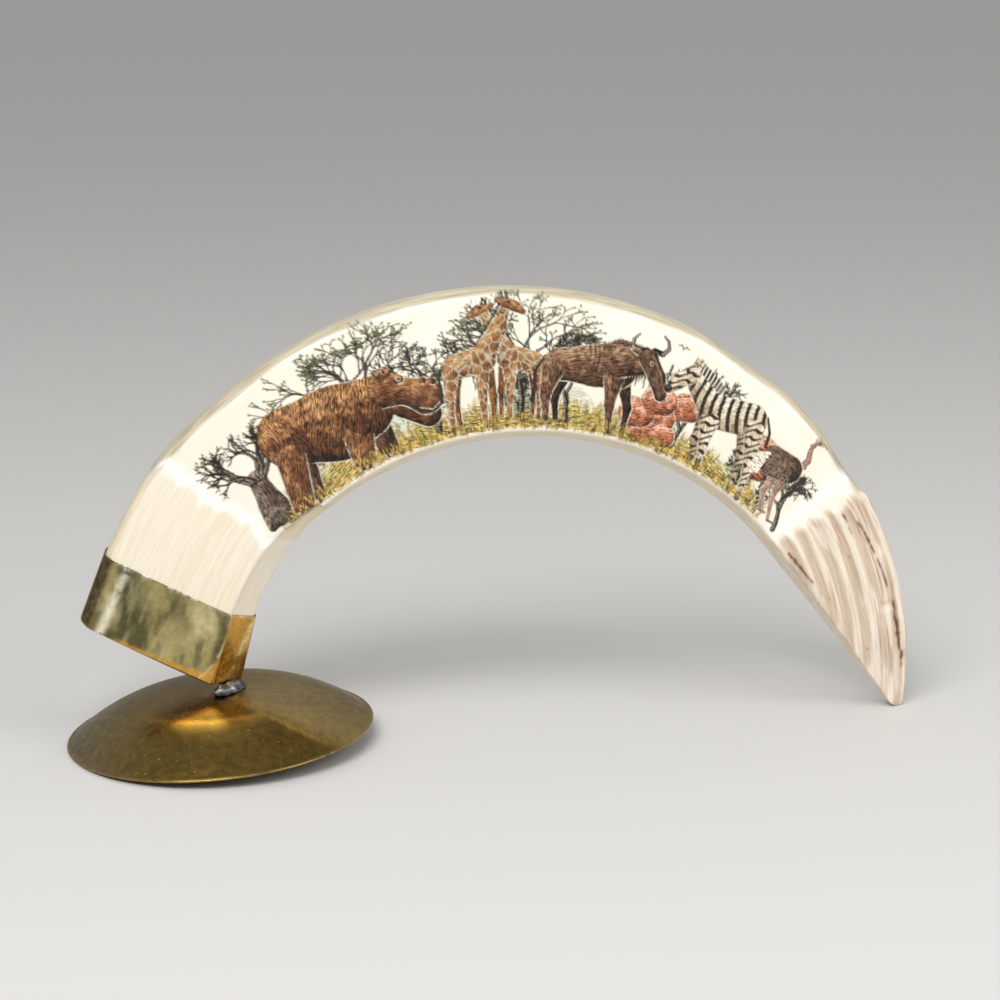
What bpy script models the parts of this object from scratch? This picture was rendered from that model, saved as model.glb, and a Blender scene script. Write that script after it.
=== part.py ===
"""Scrimshaw hippo tooth on a brass collar and a dished brass foot.

Metres, +Z up. X runs in the plane of the tooth from its root to its tip, and the
polished, painted face looks along -Y. The origin is at the middle of the
underside, on the surface that the foot's left rim and the tooth's tip rest on.
"""

from math import cos, exp, pi, radians, sin, sqrt, tan

import bmesh
import bpy
import numpy as np
from mathutils import Vector

# Tooth, side view: a round outer edge and a round inner edge with its own centre
OUTER_RADIUS = 0.1732
INNER_RADIUS = 0.1294
INNER_CENTRE_SHIFT = (0.0082, -0.0183)
TIP_ANGLE = radians(184.0)
RING_ANGLE = radians(23.1)
COLLAR_BOTTOM_ANGLE = radians(13.7)
ROOT_SPREAD_OUTER = 0.0040
ROOT_SPREAD_INNER = 0.0090
ROOT_SPREAD_POWER = 1.9
ROOT_SPREAD_END = radians(50.0)
SECTION_TURN = radians(2.2)
SECTION_TURN_FADE = radians(6.2)

# Swell and ground-down dips along the outer edge: middle, half length, height
OUTER_SWELLS = (
    (radians(37.5), radians(13.0), 0.0018),
    (radians(125.5), radians(8.0), -0.0014),
    (radians(146.5), radians(7.0), -0.0014),
)

# Straight facet that wear has ground along the inner side, down to the tip
WEAR_START_ANGLE = radians(148.4)
TIP_WIDTH = 0.0058
TIP_ROUNDING = 0.0020
TIP_ROUNDING_ANGLE = radians(1.2)

# Tooth, cross-section: corners as shares of its width (outer to inner) and its thickness
BODY_THICKNESS = 0.0380
TIP_THICKNESS = 0.0085
THINNING_START_ANGLE = radians(118.0)
THINNING_POWER = 1.9
FRONT_EDGE_BODY = 0.92
FRONT_EDGE_ROOT = 0.81
FRONT_EDGE_POWER = 0.3
SECTION_CORNERS = ((0.00, -0.10), (FRONT_EDGE_BODY, -0.36), (1.00, -0.04), (0.74, 0.50), (0.02, 0.56))
CORNER_RADII = (0.15, 0.06, 0.08, 0.32, 0.42)
CORNER_STEPS = (4, 2, 2, 4, 5)
EDGE_STEPS = (32, 3, 3, 20, 1)
FACE_CROWN = 0.0010
FRONT_FACING = (0.5, 0.95)
WEAR_FACING = (0.2, 0.7)

# Raw enamel near the tip: it stands proud of the polished body and is fluted lengthwise
ENAMEL_STEP = 0.0010
ENAMEL_EDGE_OUTER = radians(151.5)
ENAMEL_EDGE_INNER = radians(150.5)
ENAMEL_EDGE_WIDTH = radians(2.4)
ENAMEL_TIP_FADE = radians(14.0)
FLUTE_PITCH = 0.0056
FLUTE_DEPTH = 0.0006

BODY_STATIONS = 26
ENAMEL_STATIONS = 12
TIP_STATIONS = 3
SHARP_ANGLE = radians(50.0)

# Collar: a sheet brass cup that the root stands in
COLLAR_WALL = 0.0005
COLLAR_CLEARANCE = 0.0003
COLLAR_RING_LEAN = radians(2.7)
COLLAR_BOTTOM_LEAN = radians(12.0)
COLLAR_ROWS = 3

# Foot: a spun brass dish that stands on its left rim, with the right rim a little up
FOOT_RADIUS = 0.0630
FOOT_WALL = 0.0010
FOOT_TILT = radians(3.6)
FOOT_DOME_POWER = 2.7
FOOT_SEGMENTS = 52
FOOT_PROFILE_STEPS = 7
FOOT_STEP_POWER = 0.75
MERGE_DISTANCE = 0.00002

# Solder: a bead between the collar's lowest corner and the top of the foot
SOLDER_HEIGHT = 0.0026
SOLDER_REACH = 0.0091
SOLDER_SIZE = (0.0185, 0.0095, 0.0068)
SOLDER_SHIFT = (-0.0041, -0.0046)
SOLDER_GAP = 0.0003
SOLDER_TURN = radians(47.0)
SOLDER_SEGMENTS = 20
SOLDER_RINGS = 12

# Colour, roughness and metallic value of each material
IVORY_LOOK = ((0.90, 0.86, 0.76), 0.30, 0.0)
COLLAR_LOOK = ((0.55, 0.46, 0.25), 0.28, 1.0)
FOOT_LOOK = ((0.42, 0.27, 0.09), 0.32, 1.0)
TIN_LOOK = ((0.42, 0.43, 0.45), 0.42, 1.0)


def clear_scene():
    for item in list(bpy.data.objects):
        bpy.data.objects.remove(item, do_unlink=True)


def make_collection(name):
    collection = bpy.data.collections.new(name)
    bpy.context.scene.collection.children.link(collection)
    return collection


def material(name, look):
    colour, roughness, metallic = look
    result = bpy.data.materials.new(name)
    result.use_nodes = True
    shader = result.node_tree.nodes["Principled BSDF"]
    shader.inputs["Base Color"].default_value = (*colour, 1.0)
    shader.inputs["Roughness"].default_value = roughness
    shader.inputs["Metallic"].default_value = metallic
    return result


def smooth_step(value, low, high):
    share = np.clip((value - low) / (high - low), 0.0, 1.0)
    return share * share * (3.0 - 2.0 * share)


# Side view of the tooth. Angles run round the outer edge's centre from the root's side
# over the top to the tip, and are measured from the level line on the root's side.

ARC_CENTRE = np.array([0.0, (OUTER_RADIUS - TIP_ROUNDING) * sin(TIP_ANGLE - pi)])
INNER_CENTRE = ARC_CENTRE + np.array(INNER_CENTRE_SHIFT)


def root_share(angle):
    """From 1 at the collar's underside to 0 where the root's spread ends."""
    share = (ROOT_SPREAD_END - angle) / (ROOT_SPREAD_END - COLLAR_BOTTOM_ANGLE)
    return max(0.0, share)


def outer_swell(angle):
    height = 0.0
    for middle, half_length, top in OUTER_SWELLS:
        share = min(1.0, abs(angle - middle) / half_length)
        height += top * (1.0 - share * share) ** 2
    return height


def outer_point(angle):
    radius = OUTER_RADIUS + ROOT_SPREAD_OUTER * root_share(angle) ** ROOT_SPREAD_POWER
    radius += outer_swell(angle)
    return ARC_CENTRE + radius * np.array([-cos(angle), sin(angle)])


def section_direction(angle):
    """Direction from the outer edge to the inner edge in the section at this angle."""
    turned = angle + SECTION_TURN * exp(-(angle - RING_ANGLE) / SECTION_TURN_FADE)
    return np.array([cos(turned), -sin(turned)])


def distance_to_circle(start, direction, centre, radius):
    offset = start - centre
    along = offset @ direction
    return -along - np.sqrt(along * along - offset @ offset + radius * radius)


def wear_line():
    start = outer_point(WEAR_START_ANGLE)
    direction = section_direction(WEAR_START_ANGLE)
    first = start + direction * distance_to_circle(start, direction, INNER_CENTRE, INNER_RADIUS)
    last = outer_point(TIP_ANGLE) + section_direction(TIP_ANGLE) * TIP_WIDTH
    return first, last


def distance_to_line(start, direction, first, last):
    along = last - first
    side = np.array([-along[1], along[0]])
    return ((first - start) @ side) / (direction @ side)


def section_width(angle):
    start = outer_point(angle)
    direction = section_direction(angle)
    if angle > WEAR_START_ANGLE:
        return distance_to_line(start, direction, *wear_line())
    width = distance_to_circle(start, direction, INNER_CENTRE, INNER_RADIUS)
    return width + ROOT_SPREAD_INNER * root_share(angle) ** ROOT_SPREAD_POWER


def tip_rounding(angle):
    """How far the section is drawn in at each side, where the tip's end is rounded."""
    share = max(0.0, 1.0 - (TIP_ANGLE - angle) / TIP_ROUNDING_ANGLE)
    return TIP_ROUNDING * (1.0 - sqrt(1.0 - share * share))


def section_thickness(angle):
    share = max(0.0, (angle - THINNING_START_ANGLE) / (TIP_ANGLE - THINNING_START_ANGLE))
    return BODY_THICKNESS + (TIP_THICKNESS - BODY_THICKNESS) * share ** THINNING_POWER


def rounded_outline(corners, radii, corner_steps, edge_steps):
    """A closed outline with an arc at every corner, as points and outward normals."""
    count = len(corners)
    arcs = []
    for index in range(count):
        corner = corners[index]
        before = corners[index - 1] - corner
        after = corners[(index + 1) % count] - corner
        before /= np.linalg.norm(before)
        after /= np.linalg.norm(after)
        half = 0.5 * np.arccos(np.clip(before @ after, -1.0, 1.0))
        middle = (before + after) / np.linalg.norm(before + after)
        centre = corner + middle * radii[index] / sin(half)
        first = -(before + after) / np.linalg.norm(before + after)
        sweep = pi - 2.0 * half
        arc = []
        for step in range(corner_steps[index] + 1):
            turn = sweep * (step / corner_steps[index] - 0.5)
            normal = np.array([first[0] * cos(turn) - first[1] * sin(turn),
                               first[0] * sin(turn) + first[1] * cos(turn)])
            arc.append((centre + radii[index] * normal, normal))
        arcs.append(arc)
    points = []
    normals = []
    for index in range(count):
        for point, normal in arcs[index]:
            points.append(point)
            normals.append(normal)
        start, normal = arcs[index][-1]
        end = arcs[(index + 1) % count][0][0]
        for step in range(1, edge_steps[index]):
            points.append(start + (end - start) * step / edge_steps[index])
            normals.append(normal)
    return np.array(points), np.array(normals)


def enamel_relief(angle, depth, width):
    """Height of the raw enamel over the polished body, this far in from the outer edge."""
    share = np.clip(depth / width, 0.0, 1.0)
    edge = ENAMEL_EDGE_OUTER + (ENAMEL_EDGE_INNER - ENAMEL_EDGE_OUTER) * share
    cover = smooth_step(angle, edge - ENAMEL_EDGE_WIDTH, edge + ENAMEL_EDGE_WIDTH)
    tip_fade = 1.0 - smooth_step(angle, TIP_ANGLE - ENAMEL_TIP_FADE, TIP_ANGLE)
    flutes = FLUTE_DEPTH * np.cos(2.0 * pi * depth / FLUTE_PITCH)
    return cover * tip_fade * (ENAMEL_STEP + flutes)


def section(angle, grow=0.0, lean=0.0):
    """One ring of 3-D points round the tooth. Growth makes room for what fits round it."""
    drawn_in = tip_rounding(angle)
    wide = section_width(angle) + 2.0 * (grow - drawn_in)
    thick = section_thickness(angle) + 2.0 * (grow - drawn_in)
    corners = np.array(SECTION_CORNERS)
    corners[1, 0] += (FRONT_EDGE_ROOT - FRONT_EDGE_BODY) * root_share(angle) ** FRONT_EDGE_POWER
    corners = corners * np.array([wide, thick]) - np.array([grow, 0.0])
    radii = np.array(CORNER_RADII) * min(wide, thick)
    points, normals = rounded_outline(corners, radii, CORNER_STEPS, EDGE_STEPS)
    depth = points[:, 0]
    crown = FACE_CROWN * (1.0 - (2.0 * np.clip(depth / wide, 0.0, 1.0) - 1.0) ** 2)
    on_front = smooth_step(-normals[:, 1], *FRONT_FACING) * thick / BODY_THICKNESS
    away_from_wear = 1.0 - smooth_step(normals[:, 0], *WEAR_FACING)
    lift = crown * on_front + enamel_relief(angle, depth, wide) * away_from_wear
    points = points + normals * lift[:, None]
    along = section_direction(angle)
    start = outer_point(angle) + drawn_in * along
    across = np.array([-along[1], along[0]])
    slope = tan(lean)
    plane = start[None, :] + points[:, :1] * along + (points[:, 1:] * slope) * across
    return np.column_stack([plane[:, 0], points[:, 1], plane[:, 1]])


def collar_bottom(grow=0.0):
    return section(COLLAR_BOTTOM_ANGLE, grow, COLLAR_BOTTOM_LEAN)


def collar_ring(grow=0.0):
    return section(RING_ANGLE, grow, COLLAR_RING_LEAN)


def tooth_rings():
    bottom = collar_bottom()
    ring = collar_ring()
    length = np.linalg.norm((ring - bottom).mean(axis=0))
    rings = [bottom + (ring - bottom) * COLLAR_CLEARANCE / length, ring]
    enamel_start = min(ENAMEL_EDGE_OUTER, ENAMEL_EDGE_INNER) - ENAMEL_EDGE_WIDTH
    body = np.linspace(RING_ANGLE, enamel_start, BODY_STATIONS)
    enamel = np.linspace(enamel_start, TIP_ANGLE - TIP_ROUNDING_ANGLE, ENAMEL_STATIONS + 1)
    turns = np.linspace(0.0, 0.5 * pi, TIP_STATIONS + 1)
    tip = TIP_ANGLE - TIP_ROUNDING_ANGLE * (1.0 - np.sin(turns))
    rings += [section(angle) for angle in [*body[1:], *enamel[1:], *tip[1:]]]
    return rings


def collar_rings(grow):
    bottom = collar_bottom(grow)
    ring = collar_ring(grow)
    return [bottom + (ring - bottom) * row / COLLAR_ROWS for row in range(COLLAR_ROWS + 1)]


def lowest_collar_corner():
    rings = collar_rings(COLLAR_CLEARANCE + COLLAR_WALL)
    return rings[0][rings[0][:, 2].argmin()]


def middle_of_length():
    """X half-way between the foot's left rim and the tooth's outer edge at the tip."""
    left = foot_centre_x() - FOOT_RADIUS * cos(FOOT_TILT)
    right = max(ring[:, 0].max() for ring in tooth_rings())
    return 0.5 * (left + right)


def foot_top():
    """Point at the top of the foot's dome, under the collar's lowest corner."""
    corner = lowest_collar_corner()
    return corner[0] - SOLDER_REACH, corner[2] - SOLDER_HEIGHT


def foot_rise():
    return (foot_top()[1] - FOOT_RADIUS * sin(FOOT_TILT)) / cos(FOOT_TILT)


def foot_centre_x():
    return foot_top()[0] + foot_rise() * sin(FOOT_TILT)


def new_object(name, mesh, collection, look):
    result = bpy.data.objects.new(name, mesh)
    collection.objects.link(result)
    if look is not None:
        mesh.materials.append(look)
    return result


def loft(name, rings, shift, close_end=True):
    """Mesh through rings of matching points, capped at its start and, if closed, at its end."""
    mesh = bpy.data.meshes.new(name)
    work = bmesh.new()
    rows = []
    for ring in rings:
        rows.append([work.verts.new(Vector(point) - Vector(shift)) for point in ring.tolist()])
    for lower, upper in zip(rows, rows[1:]):
        for index in range(len(lower)):
            after = (index + 1) % len(lower)
            work.faces.new((lower[index], lower[after], upper[after], upper[index]))
    work.faces.new(rows[0][::-1])
    if close_end:
        work.faces.new(rows[-1])
    bmesh.ops.recalc_face_normals(work, faces=work.faces)
    work.to_mesh(mesh)
    work.free()
    return mesh


def make_tooth(collection, look, shift):
    mesh = loft("tooth", tooth_rings(), shift)
    tooth = new_object("tooth", mesh, collection, look)
    mesh.shade_smooth()
    mesh.set_sharp_from_angle(angle=SHARP_ANGLE)
    return tooth


def make_collar(collection, look, shift):
    mesh = loft("brass_collar", collar_rings(COLLAR_CLEARANCE), shift, close_end=False)
    collar = new_object("brass_collar", mesh, collection, look)
    wall = collar.modifiers.new("wall", "SOLIDIFY")
    wall.thickness = COLLAR_WALL
    wall.offset = 1.0
    wall.use_even_offset = True
    mesh.shade_smooth()
    mesh.set_sharp_from_angle(angle=SHARP_ANGLE)
    return collar


def foot_upper_side(top_grow=0.0):
    """Half-section of the dish's upper side, from its top out to its rim."""
    upper = []
    for step in range(FOOT_PROFILE_STEPS + 1):
        share = (step / FOOT_PROFILE_STEPS) ** FOOT_STEP_POWER
        height = foot_rise() * (1.0 - share ** FOOT_DOME_POWER)
        upper.append((share * FOOT_RADIUS, max(height, FOOT_WALL) + top_grow))
    return upper


def foot_outline():
    """The upper side, the flat edge of the rim, and back underneath to the middle."""
    upper = foot_upper_side()
    under = [((FOOT_RADIUS - FOOT_WALL) * radius / FOOT_RADIUS, height - FOOT_WALL)
             for radius, height in upper[:-1]]
    rim = [(FOOT_RADIUS, 0.0), (FOOT_RADIUS - FOOT_WALL, 0.0)]
    return upper + rim + under[::-1]


def turned_mesh(name, profile, collection, look):
    mesh = bpy.data.meshes.new(name)
    points = [(radius, 0.0, height) for radius, height in profile]
    edges = [(index, index + 1) for index in range(len(points) - 1)]
    mesh.from_pydata(points, edges, [])
    turned = new_object(name, mesh, collection, look)
    screw = turned.modifiers.new("turning", "SCREW")
    screw.steps = FOOT_SEGMENTS
    screw.render_steps = FOOT_SEGMENTS
    screw.use_merge_vertices = True
    screw.merge_threshold = MERGE_DISTANCE
    screw.use_smooth_shade = True
    return turned


def place_on_rim(item, shift):
    item.location = (foot_centre_x() - shift[0], 0.0, FOOT_RADIUS * sin(FOOT_TILT))
    item.rotation_euler = (0.0, -FOOT_TILT, 0.0)


def make_foot(collection, look, shift):
    foot = turned_mesh("brass_foot", foot_outline(), collection, look)
    place_on_rim(foot, shift)
    return foot


def make_foot_cutter(collection, shift):
    closed = foot_upper_side(SOLDER_GAP) + [(0.0, 0.0)]
    cutter = turned_mesh("foot_cutter", closed, collection, None)
    place_on_rim(cutter, shift)
    return cutter


def make_collar_cutter(collection, shift):
    grow = COLLAR_CLEARANCE + COLLAR_WALL + SOLDER_GAP
    rings = collar_rings(grow)
    down = rings[0] - rings[1]
    down /= np.linalg.norm(down, axis=1)[:, None]
    rings[0] = rings[0] + down * (COLLAR_WALL + SOLDER_GAP)
    mesh = loft("collar_cutter", rings, shift)
    return new_object("collar_cutter", mesh, collection, None)


def make_solder(collection, look, shift, cutters):
    work = bmesh.new()
    bmesh.ops.create_uvsphere(work, u_segments=SOLDER_SEGMENTS, v_segments=SOLDER_RINGS, radius=0.5)
    bmesh.ops.scale(work, vec=SOLDER_SIZE, verts=work.verts)
    mesh = bpy.data.meshes.new("solder_bead")
    work.to_mesh(mesh)
    work.free()
    solder = new_object("solder_bead", mesh, collection, look)
    corner = Vector(lowest_collar_corner()) - Vector(shift)
    solder.location = corner + Vector((*SOLDER_SHIFT, -0.5 * SOLDER_HEIGHT))
    solder.rotation_euler = (0.0, 0.0, SOLDER_TURN)
    for cutter in cutters:
        cut = solder.modifiers.new("cut", "BOOLEAN")
        cut.operation = "DIFFERENCE"
        cut.solver = "EXACT"
        cut.object = cutter
    return solder


def hide_cutter(cutter):
    cutter.hide_render = True
    cutter.display_type = "WIRE"


def main():
    clear_scene()
    parts = make_collection("scrimshaw_hippo_tooth")
    cutters = make_collection("cutters")
    shift = (middle_of_length(), 0.0, 0.0)
    make_tooth(parts, material("ivory", IVORY_LOOK), shift)
    make_collar(parts, material("collar_brass", COLLAR_LOOK), shift)
    make_foot(parts, material("foot_brass", FOOT_LOOK), shift)
    solder_cutters = [make_foot_cutter(cutters, shift), make_collar_cutter(cutters, shift)]
    for cutter in solder_cutters:
        hide_cutter(cutter)
    make_solder(parts, material("tin_solder", TIN_LOOK), shift, solder_cutters)


main()
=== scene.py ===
from math import cos, exp, pi, radians, sin, sqrt, tan

import bmesh
import bpy
import numpy as np
from mathutils import Euler, Matrix, Vector


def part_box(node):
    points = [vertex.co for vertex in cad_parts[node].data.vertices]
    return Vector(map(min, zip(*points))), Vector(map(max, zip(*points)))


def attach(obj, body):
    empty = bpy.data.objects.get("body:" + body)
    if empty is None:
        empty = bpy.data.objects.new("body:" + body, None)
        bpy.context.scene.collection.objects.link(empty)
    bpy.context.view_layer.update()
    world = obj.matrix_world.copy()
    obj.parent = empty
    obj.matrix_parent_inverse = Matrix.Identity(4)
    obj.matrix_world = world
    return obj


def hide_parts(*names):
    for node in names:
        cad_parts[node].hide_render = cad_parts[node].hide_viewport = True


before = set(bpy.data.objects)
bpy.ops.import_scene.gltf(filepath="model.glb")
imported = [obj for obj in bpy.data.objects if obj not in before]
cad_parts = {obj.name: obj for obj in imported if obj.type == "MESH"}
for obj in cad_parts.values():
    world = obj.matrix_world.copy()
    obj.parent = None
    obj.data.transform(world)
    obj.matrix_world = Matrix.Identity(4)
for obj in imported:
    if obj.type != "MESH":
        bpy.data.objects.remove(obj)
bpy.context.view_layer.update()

# Camera, as fitted to the foot's rim and the tip on the table
CAMERA_PLACE = (-0.1288, -0.9898, 0.3330)
CAMERA_PITCH = radians(13.31)
CAMERA_YAW = radians(-7.573)
CAMERA_ROLL = radians(-0.46)
CAMERA_LENS = 90.0
CAMERA_SENSOR = 36.0

# Tooth, side view, as in the solid: a round outer edge and a round inner edge
OUTER_RADIUS = 0.1732
INNER_RADIUS = 0.1294
INNER_CENTRE_SHIFT = (0.0082, -0.0183)
TIP_ANGLE = radians(184.0)
RING_ANGLE = radians(23.1)
COLLAR_BOTTOM_ANGLE = radians(13.7)
ROOT_SPREAD_OUTER = 0.0040
ROOT_SPREAD_INNER = 0.0090
ROOT_SPREAD_POWER = 1.9
ROOT_SPREAD_END = radians(50.0)
SECTION_TURN = radians(2.2)
SECTION_TURN_FADE = radians(6.2)
OUTER_SWELLS = (
    (radians(37.5), radians(13.0), 0.0018),
    (radians(125.5), radians(8.0), -0.0014),
    (radians(146.5), radians(7.0), -0.0014),
)
WEAR_START_ANGLE = radians(148.4)
TIP_WIDTH = 0.0058
TIP_ROUNDING = 0.0020
TIP_ROUNDING_ANGLE = radians(1.2)

# Tooth, cross-section, as in the solid
BODY_THICKNESS = 0.0380
TIP_THICKNESS = 0.0085
THINNING_START_ANGLE = radians(118.0)
THINNING_POWER = 1.9
FRONT_EDGE_BODY = 0.92
FRONT_EDGE_ROOT = 0.81
FRONT_EDGE_POWER = 0.3
SECTION_CORNERS = ((0.00, -0.10), (FRONT_EDGE_BODY, -0.36), (1.00, -0.04), (0.74, 0.50), (0.02, 0.56))
CORNER_RADII = (0.15, 0.06, 0.08, 0.32, 0.42)
FACE_CROWN = 0.0010
FRONT_FACING = (0.5, 0.95)
WEAR_FACING = (0.2, 0.7)
COLLAR_CLEARANCE = 0.0003
COLLAR_WALL = 0.0005
COLLAR_RING_LEAN = radians(2.7)
COLLAR_BOTTOM_LEAN = radians(12.0)

# Fine mesh: points round the section, from the outer nose over the painted face and back
CORNER_STEPS = (8, 5, 5, 8, 12)
EDGE_STEPS = (108, 8, 8, 22, 3)
FRONT_COLUMNS = CORNER_STEPS[0] + EDGE_STEPS[0] + CORNER_STEPS[1]
COARSE_ROWS = 4
ROOT_STATIONS = 8
ROOT_FINE_STATIONS = 26
PICTURE_STATIONS = 560
TIP_FINE_STATIONS = 70
ROUND_STATIONS = 8
PICTURE_START = radians(36.0)
PICTURE_END = radians(150.0)

# Raw enamel near the tip
ENAMEL_STEP = 0.0010
ENAMEL_EDGE_OUTER = radians(151.5)
ENAMEL_EDGE_INNER = radians(150.5)
ENAMEL_EDGE_WIDTH = radians(0.9)
ENAMEL_TIP_FADE = radians(14.0)
ENAMEL_JAG = radians(3.2)
FLUTE_PITCH = 0.0072
FLUTE_DEPTH = 0.0007
FLUTE_WANDER = 0.0016
FINE_RELIEF = 0.00022
ROUGH_RELIEF = 0.00016
CRACK_RELIEF = 0.0003


def smooth_step(value, low, high):
    share = np.clip((value - low) / (high - low), 0.0, 1.0)
    return share * share * (3.0 - 2.0 * share)


def bell(value, middle, width):
    return np.exp(-((value - middle) / width) ** 2)


def turned_by(angle, x, y):
    return x * cos(angle) - y * sin(angle), x * sin(angle) + y * cos(angle)


def noise_table(seed):
    return np.random.default_rng(seed).random((64, 64))


def value_noise(x, y, seed=1):
    """Smooth noise from 0 to 1 on a square lattice of pitch 1, the same every run."""
    table = noise_table(seed)
    x0 = np.floor(x).astype(int)
    y0 = np.floor(y).astype(int)
    fx = smooth_step(x - x0, 0.0, 1.0)
    fy = smooth_step(y - y0, 0.0, 1.0)
    corner = [table[(x0 + i) % 64, (y0 + j) % 64] for i in (0, 1) for j in (0, 1)]
    low = corner[0] * (1 - fx) + corner[2] * fx
    high = corner[1] * (1 - fx) + corner[3] * fx
    return low * (1 - fy) + high * fy


def layered_noise(x, y, seed=1, layers=3):
    total = np.zeros_like(x)
    weight = 0.0
    for layer in range(layers):
        scale = 2.0 ** layer
        total += value_noise(x * scale, y * scale, seed + layer) / scale
        weight += 1.0 / scale
    return total / weight


# Side view of the tooth, by the same rules as the solid

ARC_CENTRE = np.array([0.0, (OUTER_RADIUS - TIP_ROUNDING) * sin(TIP_ANGLE - pi)])
INNER_CENTRE = ARC_CENTRE + np.array(INNER_CENTRE_SHIFT)


def root_share(angle):
    share = (ROOT_SPREAD_END - angle) / (ROOT_SPREAD_END - COLLAR_BOTTOM_ANGLE)
    return max(0.0, share)


def outer_swell(angle):
    height = 0.0
    for middle, half_length, top in OUTER_SWELLS:
        share = min(1.0, abs(angle - middle) / half_length)
        height += top * (1.0 - share * share) ** 2
    return height


def outer_point(angle):
    radius = OUTER_RADIUS + ROOT_SPREAD_OUTER * root_share(angle) ** ROOT_SPREAD_POWER
    radius += outer_swell(angle)
    return ARC_CENTRE + radius * np.array([-cos(angle), sin(angle)])


def section_direction(angle):
    turned = angle + SECTION_TURN * exp(-(angle - RING_ANGLE) / SECTION_TURN_FADE)
    return np.array([cos(turned), -sin(turned)])


def distance_to_circle(start, direction, centre, radius):
    offset = start - centre
    along = offset @ direction
    return -along - np.sqrt(along * along - offset @ offset + radius * radius)


def wear_line():
    start = outer_point(WEAR_START_ANGLE)
    direction = section_direction(WEAR_START_ANGLE)
    first = start + direction * distance_to_circle(start, direction, INNER_CENTRE, INNER_RADIUS)
    last = outer_point(TIP_ANGLE) + section_direction(TIP_ANGLE) * TIP_WIDTH
    return first, last


WEAR_LINE = wear_line()


def distance_to_line(start, direction, first, last):
    along = last - first
    side = np.array([-along[1], along[0]])
    return ((first - start) @ side) / (direction @ side)


def section_width(angle):
    start = outer_point(angle)
    direction = section_direction(angle)
    if angle > WEAR_START_ANGLE:
        return distance_to_line(start, direction, *WEAR_LINE)
    width = distance_to_circle(start, direction, INNER_CENTRE, INNER_RADIUS)
    return width + ROOT_SPREAD_INNER * root_share(angle) ** ROOT_SPREAD_POWER


def tip_rounding(angle):
    share = max(0.0, 1.0 - (TIP_ANGLE - angle) / TIP_ROUNDING_ANGLE)
    return TIP_ROUNDING * (1.0 - sqrt(max(0.0, 1.0 - share * share)))


def section_thickness(angle):
    share = max(0.0, (angle - THINNING_START_ANGLE) / (TIP_ANGLE - THINNING_START_ANGLE))
    return BODY_THICKNESS + (TIP_THICKNESS - BODY_THICKNESS) * share ** THINNING_POWER


def rounded_outline(corners, radii, corner_steps, edge_steps):
    """A closed outline with an arc at every corner, as points and outward normals."""
    count = len(corners)
    arcs = []
    for index in range(count):
        corner = corners[index]
        before = corners[index - 1] - corner
        after = corners[(index + 1) % count] - corner
        before /= np.linalg.norm(before)
        after /= np.linalg.norm(after)
        half = 0.5 * np.arccos(np.clip(before @ after, -1.0, 1.0))
        middle = (before + after) / np.linalg.norm(before + after)
        centre = corner + middle * radii[index] / sin(half)
        turns = (pi - 2.0 * half) * (np.arange(corner_steps[index] + 1) / corner_steps[index] - 0.5)
        normals = np.column_stack([-middle[0] * np.cos(turns) + middle[1] * np.sin(turns),
                                   -middle[0] * np.sin(turns) - middle[1] * np.cos(turns)])
        arcs.append((centre + radii[index] * normals, normals))
    points = []
    outward = []
    for index in range(count):
        points.append(arcs[index][0])
        outward.append(arcs[index][1])
        start = arcs[index][0][-1]
        end = arcs[(index + 1) % count][0][0]
        shares = np.arange(1, edge_steps[index]) / edge_steps[index]
        points.append(start + (end - start) * shares[:, None])
        outward.append(np.repeat(arcs[index][1][-1:], len(shares), axis=0))
    return np.vstack(points), np.vstack(outward)


def enamel_cover(angle, depth, width):
    """From 0 on the polished body to 1 on the raw enamel, with a jagged edge between."""
    share = np.clip(depth / width, 0.0, 1.0)
    edge = ENAMEL_EDGE_OUTER + (ENAMEL_EDGE_INNER - ENAMEL_EDGE_OUTER) * share
    jag = ENAMEL_JAG * (value_noise(depth * 190.0, depth * 0.0 + 3.5, 5) - 0.35)
    jag = jag * smooth_step(share, 0.0, 0.12)
    return smooth_step(angle + jag, edge - ENAMEL_EDGE_WIDTH, edge + ENAMEL_EDGE_WIDTH)


def enamel_relief(angle, depth, width):
    tip_fade = 1.0 - smooth_step(angle, TIP_ANGLE - ENAMEL_TIP_FADE, TIP_ANGLE)
    wander = FLUTE_WANDER * (value_noise(depth * 90.0, angle * 4.0 + depth * 0.0, 9) - 0.5)
    flutes = FLUTE_DEPTH * np.cos(2.0 * pi * (depth + wander) / FLUTE_PITCH)
    fine = FINE_RELIEF * (value_noise(depth * 900.0, angle * 9.0 + depth * 0.0, 12) - 0.5)
    rough = ROUGH_RELIEF * (value_noise(depth * 1500.0, angle * 160.0 + depth * 0.0, 14) - 0.5)
    return enamel_cover(angle, depth, width) * (tip_fade * (ENAMEL_STEP + flutes) + fine + rough)


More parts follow.
